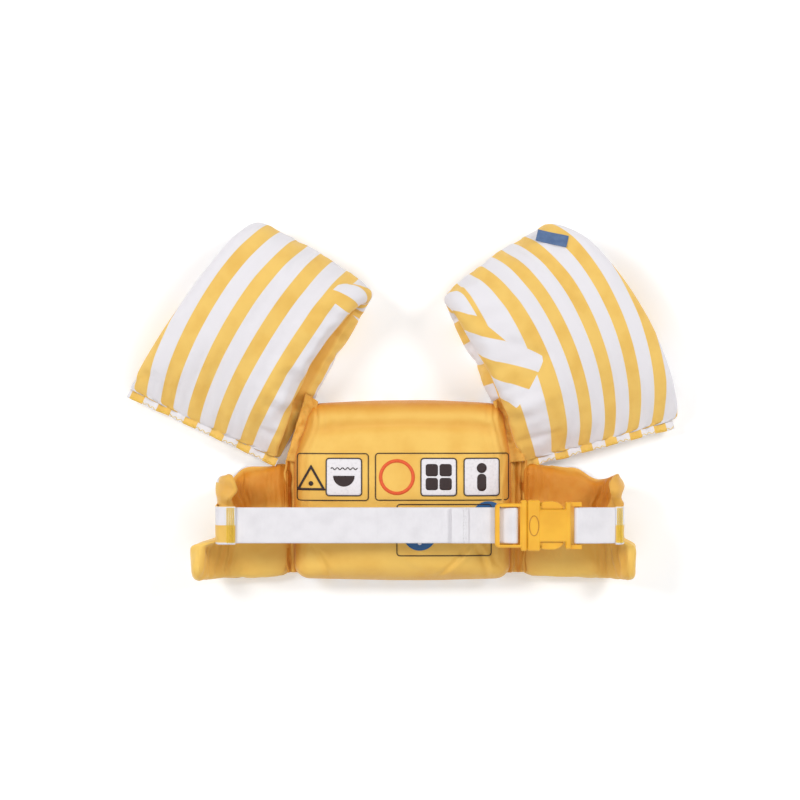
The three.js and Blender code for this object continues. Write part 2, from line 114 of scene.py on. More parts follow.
class Finish:
    """One material. Its constants sit on the shader, and what varies is linked to it."""

    def __init__(self, name, **constants):
        self.material = bpy.data.materials.new(name)
        self.material.use_nodes = True
        self.tree = self.material.node_tree
        self.shader = self.tree.nodes["Principled BSDF"]
        for socket, value in constants.items():
            self.shader.inputs[socket.replace("_", " ")].default_value = value

    def node(self, kind, settings=None, inputs=()):
        made = self.tree.nodes.new(kind)
        for key, value in (settings or {}).items():
            setattr(made, key, value)
        pairs = inputs.items() if isinstance(inputs, dict) else enumerate(inputs)
        for key, value in pairs:
            self.feed(made.inputs[key], value)
        return made

    def feed(self, socket, value):
        if isinstance(value, Num):
            value = value.socket
        if isinstance(value, bpy.types.NodeSocket):
            self.tree.links.new(value, socket)
        else:
            socket.default_value = value

    def attribute(self, name):
        made = self.node("ShaderNodeAttribute", {"attribute_name": name})
        return Num(self, made.outputs["Fac"])

    def place(self):
        return self.node("ShaderNodeTexCoord").outputs["Object"]

    def mottle(self, scale, detail=2.0):
        inputs = {"Vector": self.place(), "Scale": scale, "Detail": detail}
        return Num(self, self.node("ShaderNodeTexNoise", None, inputs).outputs[0])

    def colours(self, factor, low, high):
        made = self.node("ShaderNodeMix", {"data_type": "RGBA"}, {0: factor, 6: low, 7: high})
        return made.outputs[2]

    def surface(self, colour=None, roughness=None, height=None, depth=0.0003):
        if colour is not None:
            self.feed(self.shader.inputs["Base Color"], colour)
        if roughness is not None:
            self.feed(self.shader.inputs["Roughness"], roughness)
        if height is not None:
            inputs = {"Height": height, "Distance": depth, "Strength": 1.0}
            bump = self.node("ShaderNodeBump", None, inputs)
            self.feed(self.shader.inputs["Normal"], bump.outputs[0])
        return self


TABLE_SIZE = 6.0
TABLE_DROP = 0.0002          # the table is just below the lowest cloth
table_mesh = bpy.data.meshes.new("table")
corners = [(x * TABLE_SIZE, y * TABLE_SIZE, 0) for x, y in ((-1, -1), (1, -1), (1, 1), (-1, 1))]
table_mesh.from_pydata(corners, [], [(0, 1, 2, 3)])
table = bpy.data.objects.new("table", table_mesh)
table.location.z = -TABLE_DROP
scene.collection.objects.link(table)
table_mesh.materials.append(Finish(
    "table_white", Base_Color=(0.95, 0.95, 0.95, 1), Roughness=0.9,
    Emission_Color=(1, 1, 1, 1), Emission_Strength=0.14).material)


def lamp(name, place, size, watts):
    """A round soft light that points at the middle of the table."""
    light = bpy.data.lights.new(name, "AREA")
    light.shape = "DISK"
    light.size = size
    light.energy = watts
    made = bpy.data.objects.new(name, light)
    made.location = place
    made.rotation_euler = (-Vector(place)).to_track_quat("-Z", "Y").to_euler()
    scene.collection.objects.link(made)


lamp("key_light", (-1.10, 0.50, 1.20), 0.6, 12)
lamp("second_key_light", (1.10, 0.60, 1.20), 0.6, 11)
lamp("fill_light", (0.0, -1.1, 1.7), 1.4, 9)
world = bpy.data.worlds.new("studio")
world.use_nodes = True
background = world.node_tree.nodes["Background"]
background.inputs["Color"].default_value = (1, 1, 1, 1)
background.inputs["Strength"].default_value = 0.40
scene.world = world

# ---- Cloth -----------------------------------------------------------------------------------
# Two fine plain-woven polyesters: one printed with broad yellow stripes on white, and a plain
# golden lining with a satin face. A thread of either cloth is about half a millimetre.

MM = 0.001
THREAD_PITCH = 0.55
YELLOW = (0.890, 0.575, 0.140, 1)
YELLOW_SHADE = (0.830, 0.500, 0.104, 1)
WHITE = (0.810, 0.785, 0.820, 1)
LINING = (0.910, 0.580, 0.125, 1)
LINING_SHADE = (0.845, 0.490, 0.088, 1)
# Painted shade: the darker orange the lining is turned to in its folds, curls and gaps.
LINING_PAINTED_SHADE = (0.680, 0.245, 0.012, 1)


def weave(finish):
    turn = 2 * math.pi / THREAD_PITCH
    warp = (finish.attribute("cloth_u") * turn).sine()
    weft = (finish.attribute("cloth_v") * turn).sine()
    return warp * weft


def striped_cloth(name):
    finish = Finish(name, Sheen_Weight=0.12, Sheen_Roughness=0.5, Specular_IOR_Level=0.3)
    across = finish.attribute("stripe") + 0.5
    distance = (across.fraction() - 0.5).size()
    printed = 1 - distance.smooth(0.232, 0.248)
    mottle = finish.mottle(45, 3)
    yellow = finish.colours(mottle.smooth(0.35, 0.75), YELLOW, YELLOW_SHADE)
    colour = finish.colours(printed, WHITE, yellow)
    height = weave(finish) * 0.18 + finish.mottle(160, 3) * 0.8
    return finish.surface(colour, finish.mottle(300) * 0.12 + 0.58, height).material


def lining_cloth(name):
    finish = Finish(name, Sheen_Weight=0.2, Sheen_Roughness=0.35, Specular_IOR_Level=0.4)
    mottle = finish.mottle(38, 3)
    flat = finish.colours(mottle.smooth(0.35, 0.8), LINING, LINING_SHADE)
    # Painted shade: where the deep attribute is high, the lining is painted darker. This stands in for
    # the shade in folds, curls and gaps.
    painted_shade = finish.attribute("deep") * (finish.mottle(90, 3) * 0.5 + 0.75)
    colour = finish.colours(painted_shade, flat, LINING_PAINTED_SHADE)
    height = weave(finish) * 0.12 + finish.mottle(140, 3) * 0.9
    return finish.surface(colour, finish.mottle(260) * 0.12 + 0.44, height).material


STRIPED = striped_cloth("striped_cloth")
PLAIN = lining_cloth("lining_cloth")


def piece(name, points, faces, material, attributes=None):
    """A mesh object from points in millimetres, with one number per point for each attribute."""
    mesh = bpy.data.meshes.new(name)
    mesh.from_pydata((np.asarray(points, float) * MM).tolist(), [], faces)
    mesh.materials.append(material)
    for key, values in (attributes or {}).items():
        made = mesh.attributes.new(key, "FLOAT", "POINT")
        made.data.foreach_set("value", np.asarray(values, np.float32).ravel())
    mesh.polygons.foreach_set("use_smooth", [True] * len(mesh.polygons))
    mesh.update()
    made = bpy.data.objects.new(name, mesh)
    scene.collection.objects.link(made)
    return made


def refine(made):
    """One more round of smooth faces, with the modifier applied."""
    modifier = made.modifiers.new("refine", "SUBSURF")
    modifier.levels = 1
    modifier.render_levels = 1
    depsgraph = bpy.context.evaluated_depsgraph_get()
    finer = bpy.data.meshes.new_from_object(made.evaluated_get(depsgraph))
    made.modifiers.clear()
    made.data = finer
    finer.polygons.foreach_set("use_smooth", [True] * len(finer.polygons))


def settle(made, pressure, cap, held=None, grow=0.0, steps=20):
    """Fills a sewn cover so that its cloth finds its own puckers. No point moves past the cap."""
    start = np.array([v.co for v in made.data.vertices])
    modifier = made.modifiers.new("fill", "CLOTH")
    cloth = modifier.settings
    cloth.quality = 6
    cloth.mass = 0.15
    cloth.tension_stiffness = 18
    cloth.compression_stiffness = 18
    cloth.shear_stiffness = 8
    cloth.bending_stiffness = 0.4
    cloth.air_damping = 4
    cloth.use_pressure = True
    cloth.uniform_pressure_force = pressure
    cloth.shrink_min = -grow
    cloth.effector_weights.gravity = 0
    if held is not None:
        group = made.vertex_groups.new(name="held")
        for index in np.nonzero(held > 0)[0]:
            group.add([int(index)], float(held[index]), "REPLACE")
        cloth.vertex_group_mass = "held"
    modifier.point_cache.frame_start = 1
    modifier.point_cache.frame_end = steps
    for step in range(1, steps + 1):
        scene.frame_set(step)
    depsgraph = bpy.context.evaluated_depsgraph_get()
    moved = np.array([v.co for v in made.evaluated_get(depsgraph).data.vertices])
    made.modifiers.clear()
    scene.frame_set(1)
    shift = moved - start
    length = np.linalg.norm(shift, axis=1, keepdims=True)
    shift *= np.minimum(1.0, cap * MM / np.maximum(length, 1e-9))
    made.data.vertices.foreach_set("co", (start + shift).ravel())
    made.data.update()


def rest_on_table(made):
    """Lifts whatever went below the table when the cover was filled."""
    co = np.array([v.co for v in made.data.vertices])
    co[:, 2] = np.maximum(co[:, 2], TABLE_DROP)
    made.data.vertices.foreach_set("co", co.ravel())
    made.data.update()


def fold_noise(u, v, seed):
    """Smooth noise between about -1 and 1 over a cloth, in whatever units u and v are given."""
    flat = [noise.noise(Vector((a, b, seed))) for a, b in zip(np.ravel(u), np.ravel(v))]
    return np.reshape(flat, np.shape(u)) * 1.6


def ease(x):
    """Rises smoothly from 0 at 0 to 1 at 1."""
    x = np.clip(x, 0, 1)
    return x * x * (3 - 2 * x)


# ---- Arm bands -------------------------------------------------------------------------------
# Each arm band is a foam pad 16 mm thick in a striped cover, folded once so that its two ends
# meet in a flat sewn seam. The arm goes through the flattened hole. A gusset of the same cloth,
# with its stripes running the other way, closes the pad's edge at the chest end.

ARM_THICKNESS = 50.0
ARM_REACH = 172.0            # from the flat seam to the fold
ARM_SEAM = 7.0
ARM_SEAM_HEIGHT = 11.0
SEWN_THICKNESS = 1.6         # the pad, where its foam ends at the flat seam
PAD_THICKNESS = 16.0
LOOP_STEPS = 96
FACE_STEPS = 40
END_STEPS = 6
GUSSET_PITCH = 24.4


def bezier(a, b, c, d, count):
    """Points on a cubic curve, without its last one."""
    t = np.linspace(0, 1, count, endpoint=False)[:, None]
    a, b, c, d = (np.array(p, float) for p in (a, b, c, d))
    return a * (1 - t) ** 3 + 3 * b * t * (1 - t) ** 2 + 3 * c * t * t * (1 - t) + d * t ** 3


def resampled(points, count):
    """The same line with evenly spaced points, and how far along it each one is."""
    lengths = np.r_[0, np.cumsum(np.linalg.norm(np.diff(points, axis=0), axis=1))]
    wanted = np.linspace(0, lengths[-1], count)
    columns = [np.interp(wanted, lengths, points[:, k]) for k in range(points.shape[1])]
    return np.stack(columns, axis=1), wanted


def arm_loop():
    """The band's outer surface from the side: under layer, fold, top layer, both ends at the seam."""
    low = ARM_SEAM_HEIGHT - 1.3
    high = ARM_SEAM_HEIGHT + 1.3
    half = ARM_THICKNESS / 2
    centre = ARM_REACH - half
    turn = np.linspace(-math.pi / 2, math.pi / 2, 30)[:-1]
    fold = np.stack([centre + half * np.cos(turn), half + half * np.sin(turn)], axis=1)
    under = bezier((ARM_SEAM - 2, low), (20, 4), (38, 0.3), (58, 0.3), 20)
    top = bezier((centre, ARM_THICKNESS), (centre - 50, 51), (42, 42), (ARM_SEAM - 2, high), 40)
    points = np.vstack([under, [[centre - 1, 0.3]], fold, top, [[ARM_SEAM - 2, high]]])
    return resampled(points, LOOP_STEPS)


def arm_band(name, seam_inner, seam_outer, fold_inner, fold_outer, bow, inner_bow, setback,
             spill, slant, fan, stripe_seam, stripe_fold, dart):
    """A band between its four corners on the table.

    Its outer and inner edges bow outwards. At the opening the top layer is set back and the under
    layer spills out. The stripes start and repeat as given at the seam and at the fold, and fan
    out between. The dart is how far the gusset reaches over the top, with its stripes at a slant."""
    loop, run = arm_loop()
    total = run[-1]
    tangent = np.gradient(loop, axis=0)
    tangent /= np.linalg.norm(tangent, axis=1, keepdims=True)
    inward = np.stack([-tangent[:, 1], tangent[:, 0]], axis=1)
    from_seam = np.minimum(run, total - run)
    thickness = SEWN_THICKNESS + (PAD_THICKNESS - SEWN_THICKNESS) * ease(from_seam / 46)
    share = loop[:, 0] / ARM_REACH
    on_top = ease((run / total - 0.5) / 0.06)

    # One turn round the pad: outer face, outer end, inner face, inner end.
    face = np.linspace(0, 1, FACE_STEPS, endpoint=False)
    end = np.linspace(0, math.pi, END_STEPS, endpoint=False)
    along_share = np.r_[face, np.ones(END_STEPS), 1 - face, np.zeros(END_STEPS)]
    bulge = np.r_[0 * face, np.sin(end), 0 * face, -np.sin(end)]
    depth = np.r_[0 * face, (1 - np.cos(end)) / 2, 0 * face + 1, (1 + np.cos(end)) / 2]
    inside = np.r_[0 * face, 0 * end, 0 * face + 1, 0 * end + 1]
    tunnel = np.r_[0 * face, 0 * end, 0 * face + 1, 0 * end]

    inner = np.array(seam_inner) + np.outer(share, np.subtract(fold_inner, seam_inner))
    outer = np.array(seam_outer) + np.outer(share, np.subtract(fold_outer, seam_outer))
    axis = outer - inner
    length = np.linalg.norm(axis, axis=1)
    axis /= length[:, None]
    hump = np.clip(4 * share * (1 - share), 0, 1) ** 0.7

    radius = thickness / 2
    middle_share = np.clip(4 * share * (1 - share), 0, 1)
    begin = radius + (setback * on_top - spill * (1 - on_top)) * middle_share
    span = length - radius - begin
    along = begin[:, None] + span[:, None] * along_share + radius[:, None] * bulge
    arc = np.repeat(run[:, None], along.shape[1], axis=1)
    part = np.clip(along / length[:, None], 0, 1.1)
    shift = hump[:, None] * (inner_bow(part) + (bow - inner_bow(1)) * part)

    crown = 2.2 * np.sin(np.pi * np.clip(part, 0, 1)) * ease(from_seam / 40)[:, None]
    pucker = 2.3 * np.exp(-from_seam / 17)[:, None] * np.sin(
        along * 0.50 + 3.0 * fold_noise(along / 34, arc / 60, 3.0))
    soft = 2.4 * fold_noise(along / 50, arc / 38, 7.0) * ease(from_seam / 50)[:, None]
    fine = 0.9 * fold_noise(along / 9, arc / 60, 11.0) + 0.4 * fold_noise(along / 12, arc / 20, 12.0)
    near_end = np.exp(-np.maximum(along - begin[:, None], 0) / 16)
    crumple = (2.6 + 2.6 * (1 - on_top))[:, None] * near_end * fold_noise(along / 22, arc / 10, 17.0)
    reach = dart(share)[:, None]
    gusset_edge = np.where(reach > 0, reach * on_top[:, None], reach)
    from_gusset = along - begin[:, None] - gusset_edge
    groove = 1.5 * np.exp(-(from_gusset / 2.6) ** 2) * (gusset_edge > 1)
    sunk = 0.10 * np.clip(-from_gusset, 0, 30) * on_top[:, None]

    out = (crown - groove - sunk + pucker + soft + fine) * (1 - inside) + crumple
    out *= np.minimum(1.0, thickness / 6)[:, None]
    off = depth * thickness[:, None] - out

    across = share[:, None] * ARM_REACH + inward[:, 0:1] * off
    height = loop[:, 1:2] + inward[:, 1:2] * off
    back = np.array(seam_inner) + np.subtract(fold_inner, seam_inner) * (across / ARM_REACH)[..., None]
    spot = back + axis[:, None, :] * (along + shift)[..., None]
    points = np.concatenate([spot, np.maximum(height, 0.4)[..., None]], axis=-1)

    # The printed stripes keep to the cloth, so they follow its length and not the plan.
    first = stripe_seam[0] + (stripe_fold[0] - stripe_seam[0]) * share
    pitch = stripe_seam[1] + (stripe_fold[1] - stripe_seam[1]) * share + fan * hump
    stripe = (along - first[:, None]) / pitch[:, None]
    gusset = np.where(tunnel > 0, 30.0, -from_gusset)
    turned = (arc - slant * along * on_top[:, None]) / (GUSSET_PITCH * math.hypot(1, slant))
    rows, columns = along.shape
    faces = []
    lined = []
    for i in range(rows - 1):
        for j in range(columns):
            k = (j + 1) % columns
            faces.append((i * columns + j, i * columns + k, (i + 1) * columns + k,
                          (i + 1) * columns + j))
            lined.append(tunnel[j] > 0)
    # The loop's two ends are sewn shut.
    faces.append(tuple(range(columns))[::-1])
    faces.append(tuple((rows - 1) * columns + j for j in range(columns)))
    lined += [False, False]
    # The lining inside the arm hole gets painted shade through the deep attribute.
    attributes = {"stripe": stripe, "turned": turned, "gusset": gusset, "deep": 0.45 * tunnel + 0 * arc,
                  "cloth_u": along, "cloth_v": arc}
    band = piece(f"arm_band_{name}", points.reshape(-1, 3), faces, ARM_CLOTH, attributes)
    band.data.materials.append(PLAIN)
    band.data.polygons.foreach_set("material_index", np.array(lined, np.int32))
    held = np.repeat(np.exp(-from_seam / 6)[:, None], columns, axis=1).ravel()
    if not is_outward(band):
        band.data.flip_normals()
    settle(band, 3.0, 4.0, held=held, grow=0.02)
    rest_on_table(band)
    refine(band)
    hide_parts(f"arm_cover_{name}", f"arm_foam_{name}", f"arm_lining_{name}")
    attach(band, f"arm_{name}")
    return band


def is_outward(made):
    """Whether a closed mesh's faces point out, from the sign of its volume."""
    volume = 0.0
    vertices = made.data.vertices
    for polygon in made.data.polygons:
        corner = [vertices[i].co for i in polygon.vertices]
        for k in range(1, len(corner) - 1):
            volume += corner[0].dot(corner[k].cross(corner[k + 1]))
    return volume > 0


def arm_cloth():
    finish = Finish("arm_band_cloth", Sheen_Weight=0.12, Sheen_Roughness=0.5,
                    Specular_IOR_Level=0.3)
    across = finish.attribute("stripe") + 0.5
    turned = finish.attribute("turned") + 0.5
    on_gusset = finish.attribute("gusset") > 0
    along = 1 - (across.fraction() - 0.5).size().smooth(0.226, 0.246)
    crossing = 1 - (turned.fraction() - 0.5).size().smooth(0.226, 0.246)
    printed = along * (1 - on_gusset) + crossing * on_gusset
    mottle = finish.mottle(45, 3)
    yellow = finish.colours(mottle.smooth(0.35, 0.75), YELLOW, YELLOW_SHADE)
    colour = finish.colours(printed, WHITE, yellow)
    height = weave(finish) * 0.18 + finish.mottle(160, 3) * 0.8
    return finish.surface(colour, finish.mottle(300) * 0.12 + 0.58, height).material


ARM_CLOTH = arm_cloth()
SHIFT = np.array([-1.0, 2.0])    # puts the corners, drawn round the vest's middle, in the frame


def left_dart(share):
    """On the left band the gusset only caps the fold."""
    return np.where(share > 0.84, 17.0, -14.0)


def right_dart(share):
    """On the right band a flap of the gusset is pulled over the top, with its tip half-way up."""
    return np.interp(share, (0.28, 0.34, 0.41, 0.50, 0.64, 0.80, 1.0),
                     (-12.0, 3.0, 11.0, 21.0, 8.0, 3.0, 5.0))


LEFT_CORNERS = {
    "seam_inner": SHIFT + (-106, -56), "seam_outer": SHIFT + (-232, 3),
    "fold_inner": SHIFT + (-22, 94), "fold_outer": SHIFT + (-126, 152)}
RIGHT_CORNERS = {
    "seam_inner": SHIFT + (106, -58), "seam_outer": SHIFT + (233, -24),
    "fold_inner": SHIFT + (37, 90), "fold_outer": SHIFT + (133, 151)}
arm_band(
    "left", **LEFT_CORNERS,
    bow=7, inner_bow=lambda part: 5.0 + 0 * part, setback=7, spill=7, slant=0.0,
    fan=1.8,
    stripe_seam=(5.0, 24.2), stripe_fold=(-2.0, 25.5), dart=left_dart)
right_band = arm_band(
    "right", **RIGHT_CORNERS,
    bow=25, inner_bow=lambda part: 20.0 * ease(part * 3.5), setback=3, spill=3,
    slant=1.5, fan=0.0,
    stripe_seam=(6.0, 21.2), stripe_fold=(11.0, 23.0), dart=right_dart)

# ---- Arm band seams, label and bridges -----------------------------------------------------------
# Each band's flat seam is the two cloth edges laid together and overlocked, so it ripples. A web
# of gathered lining cloth fills the gap between each band and the chest pad. The right band
# carries a blank woven label.

SEAM_WIDTH = 7.5
SEAM_THICKNESS = 3.0


def ribbon(name, line, across, width, thickness, material, columns=12, attributes=None,
           ripple=0.0, ripple_size=12.0, seed=1.0):
    """A flat closed band along a line. The line runs down its middle, and across is its width."""
    line = np.asarray(line, float)
    crisp = 0.04                 # an extra row right beside each end keeps its cut edge square
    line = np.vstack([line[:1], line[0] + (line[1] - line[0]) * crisp, line[1:-1],
                      line[-1] + (line[-2] - line[-1]) * crisp, line[-1:]])
    count = len(line)
    across = np.asarray(across, float)
    if across.ndim == 2:
        across = np.vstack([across[:1], across, across[-1:]])
    across = np.broadcast_to(across, line.shape).copy()
    across /= np.linalg.norm(across, axis=1, keepdims=True)
    tangent = np.gradient(line, axis=0)
    tangent /= np.linalg.norm(tangent, axis=1, keepdims=True)
    normal = np.cross(tangent, across)
    run = np.r_[0, np.cumsum(np.linalg.norm(np.diff(line, axis=0), axis=1))]
    width = np.interp(np.arange(count), np.linspace(0, count - 1, np.size(width)), np.ravel(width))
    spread = np.linspace(-0.5, 0.5, columns)
    side = np.r_[spread, spread[::-1]]
    level = np.r_[np.full(columns, 0.5), np.full(columns, -0.5)]
    place = side[None, :] * width[:, None]
    lift = ripple * fold_noise(run[:, None] / ripple_size + 0 * place, place / ripple_size, seed)
    points = (line[:, None, :] + across[:, None, :] * place[..., None]
              + normal[:, None, :] * (level[None, :] * thickness + lift)[..., None])
    ring = 2 * columns
    faces = []
    for i in range(count - 1):
        for j in range(ring):
            k = (j + 1) % ring
            faces.append((i * ring + j, i * ring + k, (i + 1) * ring + k, (i + 1) * ring + j))
    last = (count - 1) * ring
    for j in range(columns - 1):
        faces.append((j, ring - 1 - j, ring - 2 - j, j + 1))
        faces.append((last + j, last + j + 1, last + ring - 2 - j, last + ring - 1 - j))
    values = {"cloth_u": np.repeat(run[:, None], ring, axis=1), "cloth_v": place}
    for key, value in (attributes or {}).items():
        values[key] = np.broadcast_to(value(points, place), place.shape)
    made = piece(name, points.reshape(-1, 3), faces, material, values)
    if not is_outward(made):
        made.data.flip_normals()
    return made


def straight(start, end, count):
    return np.linspace(np.asarray(start, float), np.asarray(end, float), count)


def polyester_thread(name, colour):
    finish = Finish(name, Sheen_Weight=0.3, Roughness=0.5)
    twist = finish.mottle(900, 2)
    finish.surface(finish.colours(twist.smooth(0.35, 0.7), colour, [c * 0.8 for c in colour]),
                   None, twist, 0.0002)
    return finish.material


YELLOW_THREAD = polyester_thread("yellow_thread", (0.88, 0.60, 0.020, 1))
WHITE_THREAD = polyester_thread("white_thread", (0.86, 0.85, 0.86, 1))
FINE_THREAD = 0.3            # radius
THICK_THREAD = 0.48


def stitching(name, stitches, material, radius):
    """Short arched lengths of thread, each from one needle hole to the next."""
    steps = 4
    sides = 6
    points = []
    faces = []
    for start, end in stitches:
        start = np.asarray(start, float)
        end = np.asarray(end, float)
        along = (end - start) / np.linalg.norm(end - start)
        side = np.cross(along, (0, 0, 1))
        side = side / max(np.linalg.norm(side), 1e-6)
        over = np.cross(side, along)
        base = len(points)
        for i in range(steps + 1):
            share = i / steps
            arch = math.sin(math.pi * share)
            middle = start + (end - start) * share + over * (arch * radius * 0.9 - radius * 0.4)
            thin = radius * (0.35 + 0.65 * arch)
            for j in range(sides):
                turn = 2 * math.pi * j / sides
                points.append(middle + thin * (side * math.cos(turn) + over * math.sin(turn)))
        for i in range(steps):
            for j in range(sides):
                k = (j + 1) % sides
                a = base + i * sides
                b = a + sides
                faces.append((a + j, a + k, b + k, b + j))
        faces.append(tuple(base + j for j in range(sides))[::-1])
        faces.append(tuple(base + steps * sides + j for j in range(sides)))
    made = piece(name, points, faces, material)
    if not is_outward(made):
        made.data.flip_normals()
    return made


def surface_of(made):
    """How high a piece's upper surface is over a spot, in millimetres."""
    depsgraph = bpy.context.evaluated_depsgraph_get()
    tree = BVHTree.FromObject(made, depsgraph)

    def height(x, y):
        hit = tree.ray_cast(Vector((x * MM, y * MM, 0.3)), Vector((0, 0, -1)))[0]
        return None if hit is None else hit.z / MM
    return height


def arm_seam(name, corners, first, pitch, drift, seed):
    inner = corners["seam_inner"]
    outer = corners["seam_outer"]
    length = np.linalg.norm(outer - inner)
    up = np.array([*(corners["fold_inner"] - inner), 0.0])
    along = np.array([*(outer - inner), 0.0]) / length
    up -= along * up.dot(along)
    up /= np.linalg.norm(up)
    count = 90
    line = np.zeros((count, 3))
    share = np.linspace(0.0, 1.0, count)
    line[:, :2] = inner + np.outer(share, outer - inner)
    line += up * (SEAM_WIDTH / 2 - 0.5)
    wave = np.sin(share * length * 0.50 + 3.0 * fold_noise(share * length / 34, 0 * share, 3.0))
    line[:, 2] = ARM_SEAM_HEIGHT + 0.7 * wave
    line[:, :2] += np.outer(0.8 * fold_noise(share * 9, 0 * share, seed + 4), up[:2])

    def stripe_at(points, v):
        reach = (points[..., 0] - inner[0]) * along[0] + (points[..., 1] - inner[1]) * along[1]
        return (reach - drift(reach / length) - first) / pitch
    stripe = {"stripe": stripe_at}
    flange = ribbon(f"arm_seam_{name}", line, up, SEAM_WIDTH, SEAM_THICKNESS, STRIPED, 8,
                    stripe, ripple=0.3, seed=seed)
    refine(flange)
    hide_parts(f"arm_flat_seam_{name}")
    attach(flange, f"arm_{name}")
    stitches = []
    step = 2.6
    spots = np.arange(1.5, length - 2.5, step)
    for k, spot in enumerate(spots):
        near = 0.6 if k % 2 else 2.6
        far = 2.6 if k % 2 else 0.6
        for sign in (-1, 1):
            ends = []
            for place, depth in ((spot, near), (spot + step, far)):
                low = line[int(place / length * (count - 1))]
                point = low - up * (SEAM_WIDTH / 2) + up * depth
                ends.append(point + np.array([0, 0, sign * (SEAM_THICKNESS / 2 + 0.2)]))
            stitches.append(ends)
    thread = stitching(f"arm_seam_thread_{name}", stitches, YELLOW_THREAD, FINE_THREAD)
    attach(thread, f"arm_{name}")


arm_seam("left", LEFT_CORNERS, 4.7, 24.8, lambda part: 1.5 + 0.6 * part, 3.0)
arm_seam("right", RIGHT_CORNERS, 6.2, 21.3, lambda part: 5.8 * ease(part * 3.5) + 1.5 * part, 5.0)


def woven_label():
    finish = Finish("label_blue", Sheen_Weight=0.3, Roughness=0.55)
    rib = (finish.attribute("cloth_u") * (2 * math.pi / 0.7)).sine()
    mottle = finish.mottle(220, 3)
    colour = finish.colours(mottle.smooth(0.3, 0.7), (0.060, 0.125, 0.280, 1),
                            (0.090, 0.170, 0.340, 1))
    return finish.surface(colour, None, rib * 0.25 + mottle * 0.3, 0.0003).material


LABEL_LENGTH = 26.0
LABEL_WIDTH = 11.0
LABEL_TURN = math.radians(-14)
_, (label_right, label_back, _) = np.array(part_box("blank_label")) / MM
over_band = surface_of(right_band)
label_middle = np.array([label_right - 9.5, label_back - 7.5])
label_way = np.array([math.cos(LABEL_TURN), math.sin(LABEL_TURN)])
label_line = []
for share in np.linspace(-0.5, 0.5, 24):
    spot = label_middle + LABEL_LENGTH * share * label_way
    height = over_band(*spot) or ARM_THICKNESS
    label_line.append((*spot, max(height, ARM_THICKNESS - 7) + 0.5))
slope = ((over_band(label_middle[0], label_middle[1] - 4) or ARM_THICKNESS)
         - (over_band(label_middle[0], label_middle[1] + 3) or ARM_THICKNESS)) / 7
label = ribbon("arm_label", label_line, (-label_way[1], label_way[0], -slope), LABEL_WIDTH, 0.7,
               woven_label(), 8, ripple=0.25, ripple_size=9, seed=8.0)
refine(label)
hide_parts("blank_label")
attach(label, "arm_right")


WEB_THICKNESS = 2.6


def arm_bridge(name, direction, seed):
    """The web runs from the chest pad's side wall to under the band's top layer."""
    low, high = np.array(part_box(f"arm_bridge_{name}")) / MM
    edge = high[0] if direction < 0 else low[0]
    chest_ends = np.array([(edge - direction * 3, 1.0, 27), (edge - direction * 2, -52.0, 24)])
    band_ends = np.array([(edge + direction * 7, 8.0, 24), (edge + direction * 24, -50.0, 19)])
    share = np.linspace(0, 1, 18)[:, None]
    upper = chest_ends[0] * (1 - share) + band_ends[0] * share
    lower = chest_ends[1] * (1 - share) + band_ends[1] * share
    line = (upper + lower) / 2
    line[:, 2] -= 3.0 * np.sin(np.pi * share[:, 0])
    web_width = np.linalg.norm(upper - lower, axis=1)
    # The whole web gets painted shade through the deep attribute, for the gap it lies in.
    bridge = ribbon(f"arm_web_{name}", line, upper - lower, web_width, WEB_THICKNESS, PLAIN, 34,
                    {"deep": lambda points, v: 0.45 + 0 * v}, ripple=1.6, ripple_size=5, seed=seed)
    refine(bridge)
    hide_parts(f"arm_bridge_{name}")
    line[0] * MM
    line[-1] * MM
    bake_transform(bridge)


arm_bridge("left", -1, 2.0)
arm_bridge("right", 1, 4.0)

# ---- Chest pad -------------------------------------------------------------------------------
# Two sheets of foam in a cloth cover: plain lining on the body side, striped cloth on the front.
# The lining rolls over at the neck, with one soft crease below the roll, and is sewn to the
# striped cloth half-way down the wall.

CHEST_CORNER = 12.5
CHEST_EDGE = 12.0
CHEST_ROLL = 19.0            # from the neck edge to the crease
CHEST_COLUMNS = 84
CHEST_ROWS = 72
CHEST_WALLS = 5
CHEST_PITCH = 24.0           # from one stripe to the next


